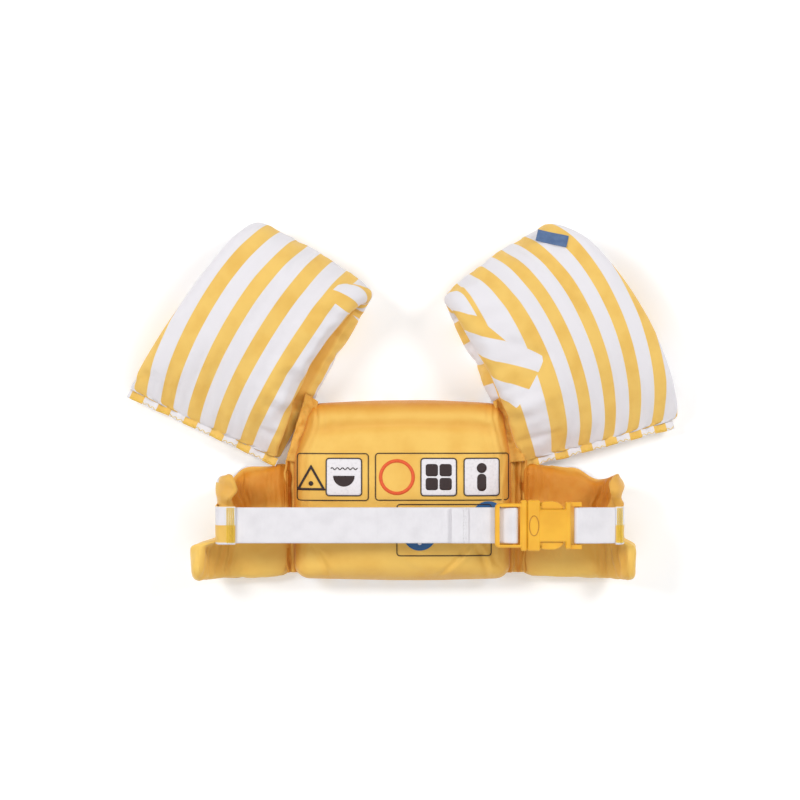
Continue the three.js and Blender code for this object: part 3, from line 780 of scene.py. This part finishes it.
def slab(length, width, thickness, corner, edge, columns, rows, walls):
    """A pad before it is shaped: a lower grid, the rows of its wall, and an upper grid.

    Gives each point's place along, across and up, its distance in from the outline, the faces,
    and whether each face is on the upper side."""
    def spread(size, count):
        share = np.linspace(0, 1, count)
        return size * (0.6 * share + 0.2 * (1 - np.cos(np.pi * share)))

    x, y = np.meshgrid(spread(length, columns), spread(width, rows), indexing="ij")
    near_x = np.clip(x, corner, length - corner)
    near_y = np.clip(y, corner, width - corner)
    reach = np.maximum(abs(x - near_x), abs(y - near_y))
    far = np.hypot(x - near_x, y - near_y)
    squeeze = np.where(far > 0, reach / np.maximum(far, 1e-9), 1)
    x = near_x + (x - near_x) * squeeze
    y = near_y + (y - near_y) * squeeze
    inset = np.minimum(corner - reach, edge)
    drop = edge - np.sqrt(np.maximum(edge ** 2 - (edge - inset) ** 2, 0))
    index = np.arange(columns * rows).reshape(columns, rows)
    rim = np.r_[index[:, 0], index[-1, 1:], index[-2::-1, -1], index[0, -2:0:-1]]
    levels = np.linspace(edge, thickness - edge, walls + 2)[1:-1]
    count = columns * rows
    along = np.r_[x.ravel(), np.tile(x.ravel()[rim], walls), x.ravel()]
    across = np.r_[y.ravel(), np.tile(y.ravel()[rim], walls), y.ravel()]
    up = np.r_[drop.ravel(), np.repeat(levels, len(rim)), thickness - drop.ravel()]
    deep = (corner - reach).ravel()
    depth = np.r_[deep, np.zeros(walls * len(rim)), deep]
    faces = []
    upper = []
    top = count + walls * len(rim)
    for i in range(columns - 1):
        for j in range(rows - 1):
            a, b, c, d = index[i, j], index[i + 1, j], index[i + 1, j + 1], index[i, j + 1]
            faces.append((int(a), int(d), int(c), int(b)))
            upper.append(False)
            faces.append((int(a + top), int(b + top), int(c + top), int(d + top)))
            upper.append(True)
    loops = [rim, *(count + np.arange(len(rim)) + k * len(rim) for k in range(walls)), rim + top]
    for k in range(walls + 1):
        lower_loop, upper_loop = loops[k], loops[k + 1]
        for i in range(len(rim)):
            j = (i + 1) % len(rim)
            faces.append((int(lower_loop[i]), int(lower_loop[j]),
                          int(upper_loop[j]), int(upper_loop[i])))
            upper.append(k > walls // 2)
    return along, across, up, depth, faces, np.array(upper)


def two_cloths(made, upper):
    """Lining on the upper faces and striped cloth on the rest."""
    made.data.materials.append(PLAIN)
    made.data.polygons.foreach_set("material_index", upper.astype(np.int32))


(chest_left, chest_bottom, _), (chest_right, chest_top, chest_height) = (
    np.array(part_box("chest_back_cover")) / MM)
chest_length = chest_right - chest_left
chest_width = chest_top - chest_bottom
along, across, up, depth, faces, upper = slab(
    chest_length, chest_width, chest_height, CHEST_CORNER, CHEST_EDGE, CHEST_COLUMNS, CHEST_ROWS,
    CHEST_WALLS)
x = chest_left + along
y = chest_bottom + across
top_side = ease((up / chest_height - 0.35) / 0.3)
crown = (np.sin(np.pi * np.clip(along / chest_length, 0, 1))
         * np.sin(np.pi * np.clip(across / chest_width, 0, 1))) ** 0.45
z = up * (0.78 + 0.22 * crown)
z += top_side * 1.2 * fold_noise(x / 42, y / 42, 4.0)

# The crease below the roll at the neck, which fades out towards both sides.
bend = 4.0 * (2 * along / chest_length - 1) ** 2 + 1.2 * fold_noise(x / 40, 0 * x, 6.0)
from_crease = chest_top - CHEST_ROLL - bend - y
fade = ease((1 - abs(2 * along / chest_length - 1)) / 0.25)
z -= top_side * fade * 3.2 * np.exp(-(from_crease / 4.5) ** 2)
z += top_side * fade * 1.6 * np.exp(-((from_crease + 11) / 7) ** 2)

# Gathers that run up both side edges, and slack pulled towards the lower corners.
from_side = np.minimum(along, chest_length - along)
gather = np.exp(-from_side / 9) * ease(across / 30)
z -= top_side * gather * 1.6 * (1 + np.sin(from_side * 0.95 + 2 * fold_noise(y / 30, x / 30, 9.0)))
for side_x, lean in ((chest_left + 26, -0.45), (chest_right - 62, 0.95),
                     (chest_right - 20, -0.30)):
    crease = x - side_x - lean * (y - chest_bottom) - 2.5 * np.sin((y - chest_bottom) / 9)
    fold = np.exp(-(crease / 2.2) ** 2) - 0.6 * np.exp(-((crease - 4.5) / 3.2) ** 2)
    z -= top_side * 2.3 * fold * ease(depth / 5) * ease((chest_bottom + 36 - y) / 14)

# The wall is drawn in along the seam between the two cloths, and the pad is wider at the neck.
seam_dip = np.exp(-((up - chest_height / 2) / 2.2) ** 2) * (depth < 0.01)
middle_x = (chest_left + chest_right) / 2
middle_y = (chest_bottom + chest_top) / 2
x -= np.sign(x - middle_x) * seam_dip * 1.3 * (abs(x - middle_x) > chest_length / 2 - 23)
y -= np.sign(y - middle_y) * seam_dip * 1.3 * (abs(y - middle_y) > chest_width / 2 - 23)
y += 1.6 * (1 - (2 * along / chest_length - 1) ** 2) * ease(across / chest_width)
belly = ease((chest_top - 6 - y) / 45)
x += (x - middle_x) * (0.05 * belly - 0.035)
x -= 6.0 * belly * np.clip((middle_x - x) / (chest_length / 2), 0, 1) ** 2

# Painted shade on the lining through the deep attribute: darker along the edges, in the gathers up the
# sides, along the roll at the neck and in the crease below it.
at_edge = np.exp(-depth / 8)
deep = top_side * np.clip(
    0.75 * gather * at_edge + 0.5 * ease(1 - (chest_top - y) / 13) + 0.35 * at_edge
    + 0.3 * fade * np.exp(-((from_crease + 1) / 5) ** 2), 0, 1)
chest_pad = piece("chest_pad", np.stack([x, y, np.maximum(z, 0.3)], axis=1), faces, STRIPED, {
    "stripe": along / CHEST_PITCH, "cloth_u": along, "cloth_v": across + up, "deep": deep})
two_cloths(chest_pad, upper)
settle(chest_pad, 2.0, 3.0, grow=0.012)
rest_on_table(chest_pad)
refine(chest_pad)
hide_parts("chest_front_cover", "chest_back_cover", "chest_foam_front",
            "chest_foam_back")
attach(chest_pad, "vest")

# ---- Pictures printed on the chest lining ------------------------------------------------------
# Plain signs in ink, with no lettering: two thin frames side by side and a third below the strap.
# They hold a triangle with a dot, three white squares, an orange ring and two blue discs.

INK_RISE = 0.28
INK_LAYER = 0.25             # ink printed over ink stands this much higher
INK_THICKNESS = 0.5
chest_surface = surface_of(chest_pad)


def ink_material(name, colour):
    finish = Finish(name)
    mottle = finish.mottle(500, 3)
    height = weave(finish) * 0.05 + mottle * 0.5
    finish.surface(finish.colours(mottle.smooth(0.45, 0.8), colour, [c * 0.86 for c in colour]),
                   mottle * 0.15 + 0.5, height, 0.0002)
    return finish.material


def rounded(cx, cy, width, height, radius, side_steps=20, corner_steps=5):
    """A rounded rectangle's outline. Every one has the same count of points, so two make a frame."""
    points = []
    corner_places = ((1, -1, -90), (1, 1, 0), (-1, 1, 90), (-1, -1, 180))
    for index, (sx, sy, first) in enumerate(corner_places):
        mx = cx + sx * (width / 2 - radius)
        my = cy + sy * (height / 2 - radius)
        for k in range(corner_steps + 1):
            turn = math.radians(first + 90 * k / corner_steps)
            points.append((mx + radius * math.cos(turn), my + radius * math.sin(turn)))
        nx, ny, following = corner_places[(index + 1) % 4]
        turn = math.radians(following)
        ahead = (cx + nx * (width / 2 - radius) + radius * math.cos(turn),
                 cy + ny * (height / 2 - radius) + radius * math.sin(turn))
        behind = points[-1]
        for k in range(1, side_steps):
            share = k / side_steps
            points.append((behind[0] + (ahead[0] - behind[0]) * share,
                           behind[1] + (ahead[1] - behind[1]) * share))
    return np.array(points)


def oval(cx, cy, rx, ry, count=64):
    turn = np.linspace(0, 2 * np.pi, count, endpoint=False)
    return np.stack([cx + rx * np.cos(turn), cy + ry * np.sin(turn)], axis=1)


def framed(cx, cy, width, height, radius, stroke):
    inner_radius = max(radius - stroke, 0.2)
    return (rounded(cx, cy, width, height, radius),
            rounded(cx, cy, width - 2 * stroke, height - 2 * stroke, inner_radius))


def filled(outline):
    return outline, None


def triangle(cx, cy, size, stroke):
    def outline(reach):
        corners = [(cx, cy + reach), (cx - reach * 0.87, cy - reach / 2),
                   (cx + reach * 0.87, cy - reach / 2)]
        points = []
        for k in range(3):
            a, b = np.array(corners[k]), np.array(corners[(k + 1) % 3])
            points += [a + (b - a) * share for share in np.linspace(0.02, 0.98, 16)]
        return np.array(points)
    return outline(size), outline(size - stroke)


def stroke_line(points, width):
    """A drawn line as a thin closed outline, paired with a line down its middle."""
    points = np.asarray(points, float)
    direction = np.gradient(points, axis=0)
    direction /= np.linalg.norm(direction, axis=1, keepdims=True)
    side = np.stack([-direction[:, 1], direction[:, 0]], axis=1) * width / 2
    outer = np.vstack([points - side, (points + side)[::-1]])
    inner = np.vstack([points - side * 0.1, (points + side * 0.1)[::-1]])
    return outer, inner


def ink(name, shapes, material, surface, rise, thickness=INK_THICKNESS):
    """Thin closed layers laid over a surface, each inside one outline or between two."""
    points = []
    faces = []
    for outer, inner in shapes:
        solid = inner is None
        if solid:
            middle = outer.mean(axis=0)
            inner = middle + (outer - middle) * 0.08
        rings = max(1, int(np.linalg.norm(outer - inner, axis=1).max() / 1.8))
        count = len(outer)
        tops = []
        for r in range(rings + 1):
            loop = outer + (inner - outer) * r / rings
            tops.append(np.c_[loop, lifted([surface(*spot) for spot in loop])])
        base = len(points)
        layers = [t + (0, 0, rise) for t in tops] + [t + (0, 0, rise - thickness) for t in tops[::-1]]
        for layer in layers:
            points.extend(layer)
        total = len(layers)
        for i in range(total):
            following = (i + 1) % total
            if solid and i == rings:
                continue
            for j in range(count):
                k = (j + 1) % count
                faces.append((base + i * count + j, base + i * count + k,
                              base + following * count + k, base + following * count + j))
        if solid:
            last = base + rings * count
            faces.append(tuple(last + j for j in range(count)))
            faces.append(tuple(last + count + j for j in range(count))[::-1])
    made = piece(name, points, faces, material)
    if not is_outward(made):
        made.data.flip_normals()
    return made


def lifted(heights):
    """Heights along an outline, smoothed upwards so that ink bridges the small folds under it."""
    known = [h for h in heights if h is not None]
    low = min(known) if known else 0.0
    heights = np.array([low if h is None else h for h in heights])
    near = np.stack([np.roll(heights, shift) for shift in (-1, 0, 1)])
    return np.maximum(heights, near.mean(axis=0))


DARK_INK = ink_material("dark_ink", (0.028, 0.012, 0.012, 1))
WHITE_INK = ink_material("white_ink", (0.80, 0.77, 0.80, 1))
ORANGE_INK = ink_material("orange_ink", (0.80, 0.105, 0.022, 1))
BLUE_INK = ink_material("blue_ink", (0.012, 0.105, 0.300, 1))

ROW_Y = -62.5                 # middle of the upper row of pictures
LEFT_FRAME = (-57.6, 61.0)    # middle and width
RIGHT_FRAME = (34.6, 113.0)
FRAME_HEIGHT = 40.0
SQUARE = 29.5
SQUARES_X = (-48.0, 31.4, 67.5)
dark = [framed(LEFT_FRAME[0], ROW_Y, LEFT_FRAME[1], FRAME_HEIGHT, 3.0, 0.8),
        framed(RIGHT_FRAME[0], ROW_Y + 0.3, RIGHT_FRAME[1], FRAME_HEIGHT, 3.0, 0.8),
        triangle(-75.8, ROW_Y - 4.0, 14.5, 3.8),
        filled(oval(-75.8, ROW_Y - 5.5, 2.0, 2.0, 24))]
white = []
for square_x in SQUARES_X:
    white.append(filled(rounded(square_x, ROW_Y, SQUARE, SQUARE + 1.5, 2.6)))

# First square: water with a float half under it.
waves = [(SQUARES_X[0] - 11 + k * 0.8, ROW_Y + 7 + 0.9 * math.sin(k * 1.15)) for k in range(29)]
dark.append(stroke_line(waves, 0.8))
low_turn = np.linspace(math.pi, 2 * math.pi, 24)
dark.append(filled(np.c_[SQUARES_X[0] + 9 * np.cos(low_turn), ROW_Y + 1 + 9 * np.sin(low_turn)]))

# Second square: four rounded tiles. Third square: a dot over a bar.
for step_x in (-1, 1):
    for step_y in (-1, 1):
        dark.append(filled(rounded(SQUARES_X[1] + step_x * 5.8, ROW_Y + step_y * 5.8,
                                   10.2, 10.2, 2.2, side_steps=6)))
dark.append(filled(oval(SQUARES_X[2], ROW_Y + 7.5, 4.2, 4.2, 28)))
dark.append(filled(rounded(SQUARES_X[2], ROW_Y - 4.6, 7.6, 14.5, 3.4, side_steps=6)))
for square_x in SQUARES_X:
    dark.append(framed(square_x, ROW_Y, SQUARE + 1.2, SQUARE + 2.7, 3.0, 0.9))
orange = [(oval(-3.6, ROW_Y, 15.0, 15.0), oval(-3.6, ROW_Y, 12.2, 12.2))]

# Below the strap.
LOWER_FRAME = (36.0, -107.0, 80.0, 44.0)
blue = [filled(oval(15.5, -110.0, 14.2, 14.2)), filled(oval(73.0, -97.0, 14.2, 14.2))]
white_dots = [filled(oval(15.5, -117.5, 1.9, 1.9, 20)), filled(oval(73.0, -104.0, 1.9, 1.9, 20))]
dark.append(framed(*LOWER_FRAME, 3.0, 0.8))

for ink_name, shapes, material, layer in (
        ("print_white", white, WHITE_INK, 0.0), ("print_orange", orange, ORANGE_INK, 0.0),
        ("print_blue", blue, BLUE_INK, 0.0), ("print_dark", dark, DARK_INK, 1.0),
        ("print_dots", white_dots, WHITE_INK, 1.0)):
    print_piece = ink(ink_name, shapes, material, chest_surface, INK_RISE + INK_LAYER * layer)
    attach(print_piece, "vest")

# ---- Side pads ---------------------------------------------------------------------------------
# Each side pad is a sheet of foam in a cover, lining inside and stripes outside. It curls up
# towards the strap. The tab pulls its middle in, so the pad ends in two lobes: a tight one above
# the strap and a wide open one below it.

SIDE_LENGTH = 110.0
SIDE_THICKNESS = 15.0
SIDE_CORNER = 13.0
SIDE_EDGE = 6.5
SIDE_COLUMNS = 78
SIDE_ROWS = 60
SIDE_WALLS = 3
HINGE_X = {"left": -91.03, "right": 98.97}
HINGE_LEVEL = 9.0
FOLD_ROOM = 3.5              # the upper edge stands back this far, so the pad can fold up
TAB_LEVEL = 59.3
TAB_WIDTH = 32.0
TAB_THICKNESS = 1.5
ZIGZAG_PITCH = 1.12
STRAP_Y = -102.0


def side_shape(share, wide, tight):
    """The pad's flat length, curl radius and curl angle, at a share of its height from the waist."""
    turn = ease((share - 0.31) / 0.09)
    return [a + (b - a) * turn for a, b in zip(wide, tight)]


def side_point(s_share, y_share, off, wide, tight, pull):
    """Where a spot of the flat sheet comes to lie: out from the hinge, up, and its turn."""
    flat, radius, angle = side_shape(y_share, wide, tight)
    at_tab = np.exp(-((y_share - 0.52) / 0.17) ** 4)
    above = ease((y_share - 0.70) / 0.16)
    angle = angle + above * 0.35 - at_tab * 0.05
    length = flat + radius * angle
    s = s_share * length
    turn = np.clip((s - flat) / radius, 0, None)
    near_tip = ease((s_share - 0.55) / 0.4)
    off = np.where(off < 0, off * (1 - 0.55 * at_tab * near_tip), off)
    x = np.where(s < flat, s, flat + radius * np.sin(turn)) - np.sin(turn) * off
    z = np.where(s < flat, 0, radius * (1 - np.cos(turn))) + np.cos(turn) * off
    x = x - pull * at_tab * near_tip
    return x, z, turn


def side_pad(name, direction, wide, tight, pull, height_share, seed):
    low, high = np.array(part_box(f"side_cover_{name}")) / MM
    hinge_x = HINGE_X[name]
    height = high[1] - low[1]
    length = SIDE_LENGTH
    along, across, up, depth, faces, upper = slab(
        length, height, SIDE_THICKNESS, SIDE_CORNER, SIDE_EDGE, SIDE_COLUMNS, SIDE_ROWS, SIDE_WALLS)
    s_share = along / length
    y_share = across / height
    inside = ease((up / SIDE_THICKNESS - 0.4) / 0.3)
    off = up - SIDE_THICKNESS / 2
    off *= 0.72 + 0.28 * (np.sin(np.pi * s_share) * np.sin(np.pi * y_share)) ** 0.5

    # The lining is shorter round the inside of the curl, so it bunches there, and it fans out
    # from the tab and from the gathered corner beside the chest.
    _, _, turn = side_point(s_share, y_share, 0 * off, wide, tight, pull)
    bunch = ease(turn / 0.5) * inside
    off -= bunch * 0.9 * np.sin(along * 0.55 + 2.4 * fold_noise(along / 26, across / 20, seed))
    off += inside * 1.5 * fold_noise(along / 24, across / 30, seed + 3)
    fan = np.arctan2(across - 0.52 * height, length + 6 - along)
    reach = np.hypot(across - 0.52 * height, length + 6 - along)
    off += 1.5 * np.sin(fan * 11 + seed) * np.exp(-((reach - 18) / 16) ** 2)
    ear = ease((y_share - 0.66) / 0.12) * ease((s_share - 0.72) / 0.15)
    off *= 1 - 0.45 * ear
    off += 1.3 * ear * np.sin(across * 0.42 + along * 0.12 + seed)
    pleat = np.exp(-along / 15) * ease((y_share - 0.35) / 0.4)
    off += inside * pleat * 3.0 * np.sin(along * 0.52 + 1.2 * fold_noise(across / 30, along, seed))
    off += (1 - inside) * 1.0 * fold_noise(along / 16, across / 16, seed + 5)
    off -= np.sign(off) * 0.8 * np.exp(-((up - SIDE_THICKNESS / 2) / 1.5) ** 2) * (depth < 0.01)

    x, z, turn = side_point(s_share, y_share, off, wide, tight, pull)
    y = low[1] + across
    # The wide lobe hangs below the chest's edge, and the upper edge falls away from the chest.
    y -= 2.6 * ease(s_share / 0.35) * ease((0.4 - y_share) / 0.4)
    y += height * height_share * ease(y_share) * (1 - ease(s_share / 0.5))
    y -= 6.0 * ease((y_share - 0.5) / 0.5) * np.exp(-((s_share - 0.60) / 0.13) ** 2)
    y += 5.0 * (1 - inside) * ease((y_share - 0.8) / 0.2) * np.exp(-((s_share - 0.42) / 0.17) ** 2)
    y += 1.2 * fold_noise(along / 14, up / 14, seed + 7) * ease((y_share - 0.7) / 0.3)
    x = x + FOLD_ROOM * inside * np.exp(-(along / 7) ** 2)
    points = np.stack([hinge_x + direction * x, y, np.maximum(HINGE_LEVEL + z, 0.4)], axis=1)

    # The lining turns over the tip as a wide facing. Painted shade, through the deep attribute, darkens
    # the lining in the curl above the tab, beside the chest and where it bunches, and the facing
    # towards the tip.
    facing = np.array([along[list(face)].min() > length * 0.79 for face in faces])
    deep = inside * (0.85 * ease((y_share - 0.52) / 0.2) * (1 - ease((s_share - 0.72) / 0.2))
                     + 0.5 * np.exp(-along / 12) + 0.25 * bunch)
    deep += 0.35 * (1 - inside) * ease((s_share - 0.76) / 0.1) * ease((y_share - 0.4) / 0.2)
    pad = piece(f"side_pad_{name}", points, faces, STRIPED, {
        "stripe": across / 24.0 - 0.1, "cloth_u": along, "cloth_v": across + up,
        "deep": np.clip(deep, 0, 1)})
    two_cloths(pad, upper | facing)
    if not is_outward(pad):
        pad.data.flip_normals()
    settle(pad, 2.5, 3.0, grow=0.015)
    rest_on_table(pad)
    refine(pad)
    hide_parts(f"side_cover_{name}", f"side_foam_{name}", f"side_lining_{name}")
    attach(pad, f"side_{name}")

    # The tab rises from the pad's outer face, turns over its rim and lies on the strap.
    tab_box = np.array(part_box(f"side_tab_{name}")) / MM
    y_tab = (STRAP_Y - low[1]) / height
    base = []
    for share in (0.70, 0.78, 0.85, 0.91):
        out, rise, _ = side_point(np.array(share), np.array(y_tab),
                                  np.array(-SIDE_THICKNESS / 2 - 0.5), wide, tight, pull)
        base.append((hinge_x + direction * float(out), HINGE_LEVEL + float(rise)))
    free = tab_box[1][0] + 2.5 if direction < 0 else tab_box[0][0]
    outside = max(direction * spot[0] for spot in base)
    base = base[:2] + [(direction * (outside + 0.6), TAB_LEVEL - 9),
                       (direction * (outside - 0.6), TAB_LEVEL - 3),
                       (direction * (outside - 2.6), TAB_LEVEL + 0.4),
                       (direction * (outside - 6.0), TAB_LEVEL + 0.9)]
    base.append((free, TAB_LEVEL + 0.6))
    knots = np.array(base)
    share = np.r_[0, np.cumsum(np.linalg.norm(np.diff(knots, axis=0), axis=1))]
    fine = np.linspace(0, share[-1], 46)
    path = np.stack([smooth_through(share, knots[:, k], fine) for k in range(2)], axis=1)
    line = np.stack([path[:, 0], np.full(len(path), STRAP_Y), path[:, 1]], axis=1)
    width = TAB_WIDTH + 5.0 * (1 - ease(np.linspace(0, 1, len(path)) / 0.6))
    tab = ribbon(f"side_tab_cloth_{name}", line, (0, 1, 0), width, TAB_THICKNESS, STRIPED, 14,
                 {"stripe": lambda points, v: (v - 8.0) / 30.0 + 0.5}, ripple=0.35, seed=seed)
    refine(tab)
    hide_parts(f"side_tab_{name}")
    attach(tab, f"side_{name}")

    # Dense zigzag rows hold the tab down on the strap.
    rows = []
    near = free + direction * 1.6
    for row in range(4 if direction < 0 else 3):
        row_x = near + direction * row * 1.7
        for k in range(26):
            y0 = STRAP_Y - 14.5 + k * ZIGZAG_PITCH
            swing = 0.8 if k % 2 else -0.8
            rows.append(((row_x - swing, y0, TAB_LEVEL + 1.75),
                         (row_x + swing, y0 + ZIGZAG_PITCH, TAB_LEVEL + 1.75)))
    thread = stitching(f"tab_zigzag_{name}", rows, YELLOW_THREAD, THICK_THREAD)
    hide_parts(f"tab_stitching_{name}")
    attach(thread, f"side_{name}")


def smooth_through(knots, values, wanted):
    """A smooth curve through a few values, by the Catmull-Rom formula."""
    slopes = np.gradient(values, knots)
    index = np.clip(np.searchsorted(knots, wanted, side="right") - 1, 0, len(knots) - 2)
    span = knots[index + 1] - knots[index]
    t = (wanted - knots[index]) / span
    return ((2 * t ** 3 - 3 * t ** 2 + 1) * values[index]
            + (t ** 3 - 2 * t ** 2 + t) * span * slopes[index]
            + (3 * t ** 2 - 2 * t ** 3) * values[index + 1]
            + (t ** 3 - t ** 2) * span * slopes[index + 1])


side_pad("left", -1, wide=(44, 34, 1.85), tight=(34, 24, 2.30), pull=1.0, height_share=0.10,
         seed=21.0)
side_pad("right", 1, wide=(60, 31, 1.85), tight=(59, 24, 2.10), pull=1.5, height_share=0.11,
         seed=31.0)

# ---- Channels between the chest pad and the side pads -------------------------------------------
# The lining and the striped cloth run on together between the pads, with no foam, so each side
# pad can fold. The slack cloth stands in small upright pleats.


CHANNEL_END = {"left": -97.0, "right": 105.0}    # under each side pad's first few millimetres
CHANNEL_COLUMNS = 44
CHANNEL_STEPS = 34


def channel(name, start, seed):
    low, high = np.array(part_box(f"side_channel_{name}")) / MM
    share = np.linspace(0, 1, CHANNEL_STEPS)
    line = np.zeros((CHANNEL_STEPS, 3))
    line[:, 0] = start + (CHANNEL_END[name] - start) * share
    line[:, 1] = (low[1] + high[1]) / 2 + 9.5
    line[:, 2] = 21 - 7 * ease(share) - 5.0 * np.sin(np.pi * share) + 1.5 * np.sin(share * 20)
    # The channel cloth gets painted shade through the deep attribute, in narrow bands across it.
    sheet = ribbon(f"channel_cloth_{name}", line, (0, 1, 0), high[1] - low[1] + 21, 2.0, PLAIN,
                   CHANNEL_COLUMNS,
                   {"deep": lambda points, v: 0.55 + 0.3 * np.sin(points[..., 0] * 0.9)},
                   ripple=2.2, ripple_size=14, seed=seed)
    refine(sheet)
    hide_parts(f"side_channel_{name}")
    line[6] * MM
    line[-6] * MM
    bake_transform(sheet)


channel("left", chest_left + 4, 41.0)
channel("right", chest_right - 4, 43.0)

# ---- Back strap ----------------------------------------------------------------------------------
# White ribbed polyester webbing, 30 mm wide. The long strap starts under the left tab, runs round
# the plug's bars and comes back over itself to a sewn hem. The short strap holds the socket.

WEBBING_WIDTH = 30.0
WEBBING = 1.5
LONG_END = -148.0
SPLIT_X = -20.0
OVERLAP = 0.3                # the two lengths of the long strap run into each other
BAR_X = 93.5                 # the plug's inner bar
OUTER_BAR_X = 79.5           # both layers pass under the plug's outer bar
TAIL_END = 42.0
LOW_LEVEL = 57.6


def webbing_material():
    finish = Finish("white_webbing", Sheen_Weight=0.25, Sheen_Roughness=0.4,
                    Specular_IOR_Level=0.35)
    rib = (finish.attribute("cloth_u") * (2 * math.pi / 1.15)).sine()
    warp = (finish.attribute("cloth_v") * (2 * math.pi / 1.5)).sine().size()
    mottle = finish.mottle(70, 3)
    colour = finish.colours(mottle.smooth(0.3, 0.8), (0.80, 0.78, 0.81, 1), (0.73, 0.71, 0.74, 1))
    height = rib * 0.22 * warp + warp * 0.3 + finish.mottle(420, 2) * 0.25
    return finish.surface(colour, finish.mottle(260) * 0.15 + 0.5, height, 0.00022).material


WHITE_WEBBING = webbing_material()


def strap(name, line):
    made = ribbon(name, line, (0, 1, 0), WEBBING_WIDTH, WEBBING, WHITE_WEBBING, 14)
    refine(made)
    return made


def at_strap(points):
    """A route drawn from the side, as places in the strap's own upright plane."""
    points = np.asarray(points, float)
    return np.stack([points[:, 0], np.full(len(points), STRAP_Y), points[:, 1]], axis=1)


def drawn(knots, count):
    """A smooth route through a few spots."""
    knots = np.asarray(knots, float)
    run = np.r_[0, np.cumsum(np.linalg.norm(np.diff(knots, axis=0), axis=1))]
    fine = np.linspace(0, run[-1], count)
    return np.stack([smooth_through(run, knots[:, k], fine) for k in range(2)], axis=1)


run = straight((LONG_END, LOW_LEVEL), (SPLIT_X + OVERLAP, LOW_LEVEL), 60)
run[:, 1] += 0.5 * np.sin((SPLIT_X - run[:, 0]) / 21) ** 2
long_left = strap("strap_long_left", at_strap(run))
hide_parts("strap_long")
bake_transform(long_left)

half_turn = np.linspace(-math.pi / 2, math.pi / 2, 12)
BAR_LEVEL = 60.5
LOOP_RADIUS = 2.9
TAIL_LEVEL = 59.3
under = straight((SPLIT_X, LOW_LEVEL), (BAR_X - 3, LOW_LEVEL), 44)
around = np.stack([BAR_X + LOOP_RADIUS * np.cos(half_turn),
                   BAR_LEVEL + LOOP_RADIUS * np.sin(half_turn)], axis=1)
back = drawn([(BAR_X - 1.5, BAR_LEVEL + LOOP_RADIUS - 0.2), (BAR_X - 6, 61.8),
              (OUTER_BAR_X, TAIL_LEVEL), (OUTER_BAR_X - 8, TAIL_LEVEL + 0.1), (60, TAIL_LEVEL + 0.4),
              (TAIL_END, TAIL_LEVEL)], 40)
long_buckle = strap("strap_long_buckle", at_strap(np.vstack([under, around, back])))
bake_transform(long_buckle)

HEM_LENGTH = 13.5
HEM_LEVEL = TAIL_LEVEL + WEBBING + 0.15
hem = ribbon("strap_hem", at_strap(straight((TAIL_END - 0.3, HEM_LEVEL),
                                            (TAIL_END + HEM_LENGTH, HEM_LEVEL + 0.3), 12)),
             (0, 1, 0), WEBBING_WIDTH - 0.5, WEBBING, WHITE_WEBBING, 14)
refine(hem)
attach(hem, "plug")
hem_rows = []
for hem_x in (TAIL_END + 9.6, TAIL_END + 11.6):
    for k in range(11):
        y0 = STRAP_Y - 13.8 + k * 2.6
        level = HEM_LEVEL + WEBBING / 2 + 0.35
        hem_rows.append(((hem_x, y0, level), (hem_x, y0 + 1.9, level)))
hem_thread = stitching("strap_hem_stitches", hem_rows, WHITE_THREAD, FINE_THREAD)
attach(hem_thread, "plug")

short_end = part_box("strap_short")[1][0] / MM
SOCKET_BAR_X = 146.5
SHORT_LOOP = 2.6             # radius
around = np.stack([SOCKET_BAR_X - SHORT_LOOP * np.cos(half_turn),
                   BAR_LEVEL - SHORT_LOOP * np.sin(half_turn)], axis=1)
upper_run = drawn([(short_end - 1, 58.6), (170, 60.2), (158, 62.3), (SOCKET_BAR_X + 3, 62.6)], 26)
lower_run = drawn([(SOCKET_BAR_X + 3, 57.3), (158, 57.2), (170, 57.0), (short_end - 1, 56.9)], 26)
short = strap("strap_short_loop", at_strap(np.vstack([upper_run, around, lower_run])))
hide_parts("strap_short")
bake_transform(short)

# ---- Buckle --------------------------------------------------------------------------------------
# A moulded side-release buckle in golden yellow plastic. The moulding has softened edges and a
# fine satin texture, and the socket's face carries a plain oval ring.


def moulded_plastic(name, colour, shade):
    finish = Finish(name, Coat_Weight=0.15, Coat_Roughness=0.3,
                    Subsurface_Weight=0.06, Subsurface_Scale=0.002)
    wide = finish.mottle(60, 2)
    grain = finish.mottle(1500, 2)
    colour = finish.colours(wide.smooth(0.3, 0.75), colour, shade)
    return finish.surface(colour, wide * 0.14 + 0.28, grain, 0.00004).material


SOFT_EDGE = 0.0005
PLASTIC = moulded_plastic("golden_plastic", (0.890, 0.470, 0.032, 1), (0.815, 0.400, 0.022, 1))
for node_name in ("buckle_socket", "buckle_plug", "buckle_prong_upper", "buckle_prong_lower"):
    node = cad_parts[node_name]
    node.data.materials.clear()
    node.data.materials.append(PLASTIC)
    softened = node.modifiers.new("softened", "BEVEL")
    softened.width = SOFT_EDGE
    softened.segments = 3
    softened.limit_method = "ANGLE"
    softened.angle_limit = math.radians(35)
    softened.harden_normals = True

socket_low, socket_high = np.array(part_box("buckle_socket")) / MM
ring_x = socket_low[0] + 5.4
AMBER = moulded_plastic("amber_plastic", (0.560, 0.230, 0.012, 1), (0.500, 0.195, 0.010, 1))
ring = ink("buckle_ring", [(oval(ring_x, STRAP_Y, 4.2, 8.6), oval(ring_x, STRAP_Y, 3.5, 7.9))],
           AMBER, lambda x, y: socket_high[2], 0.30, 0.9)
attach(ring, "vest")
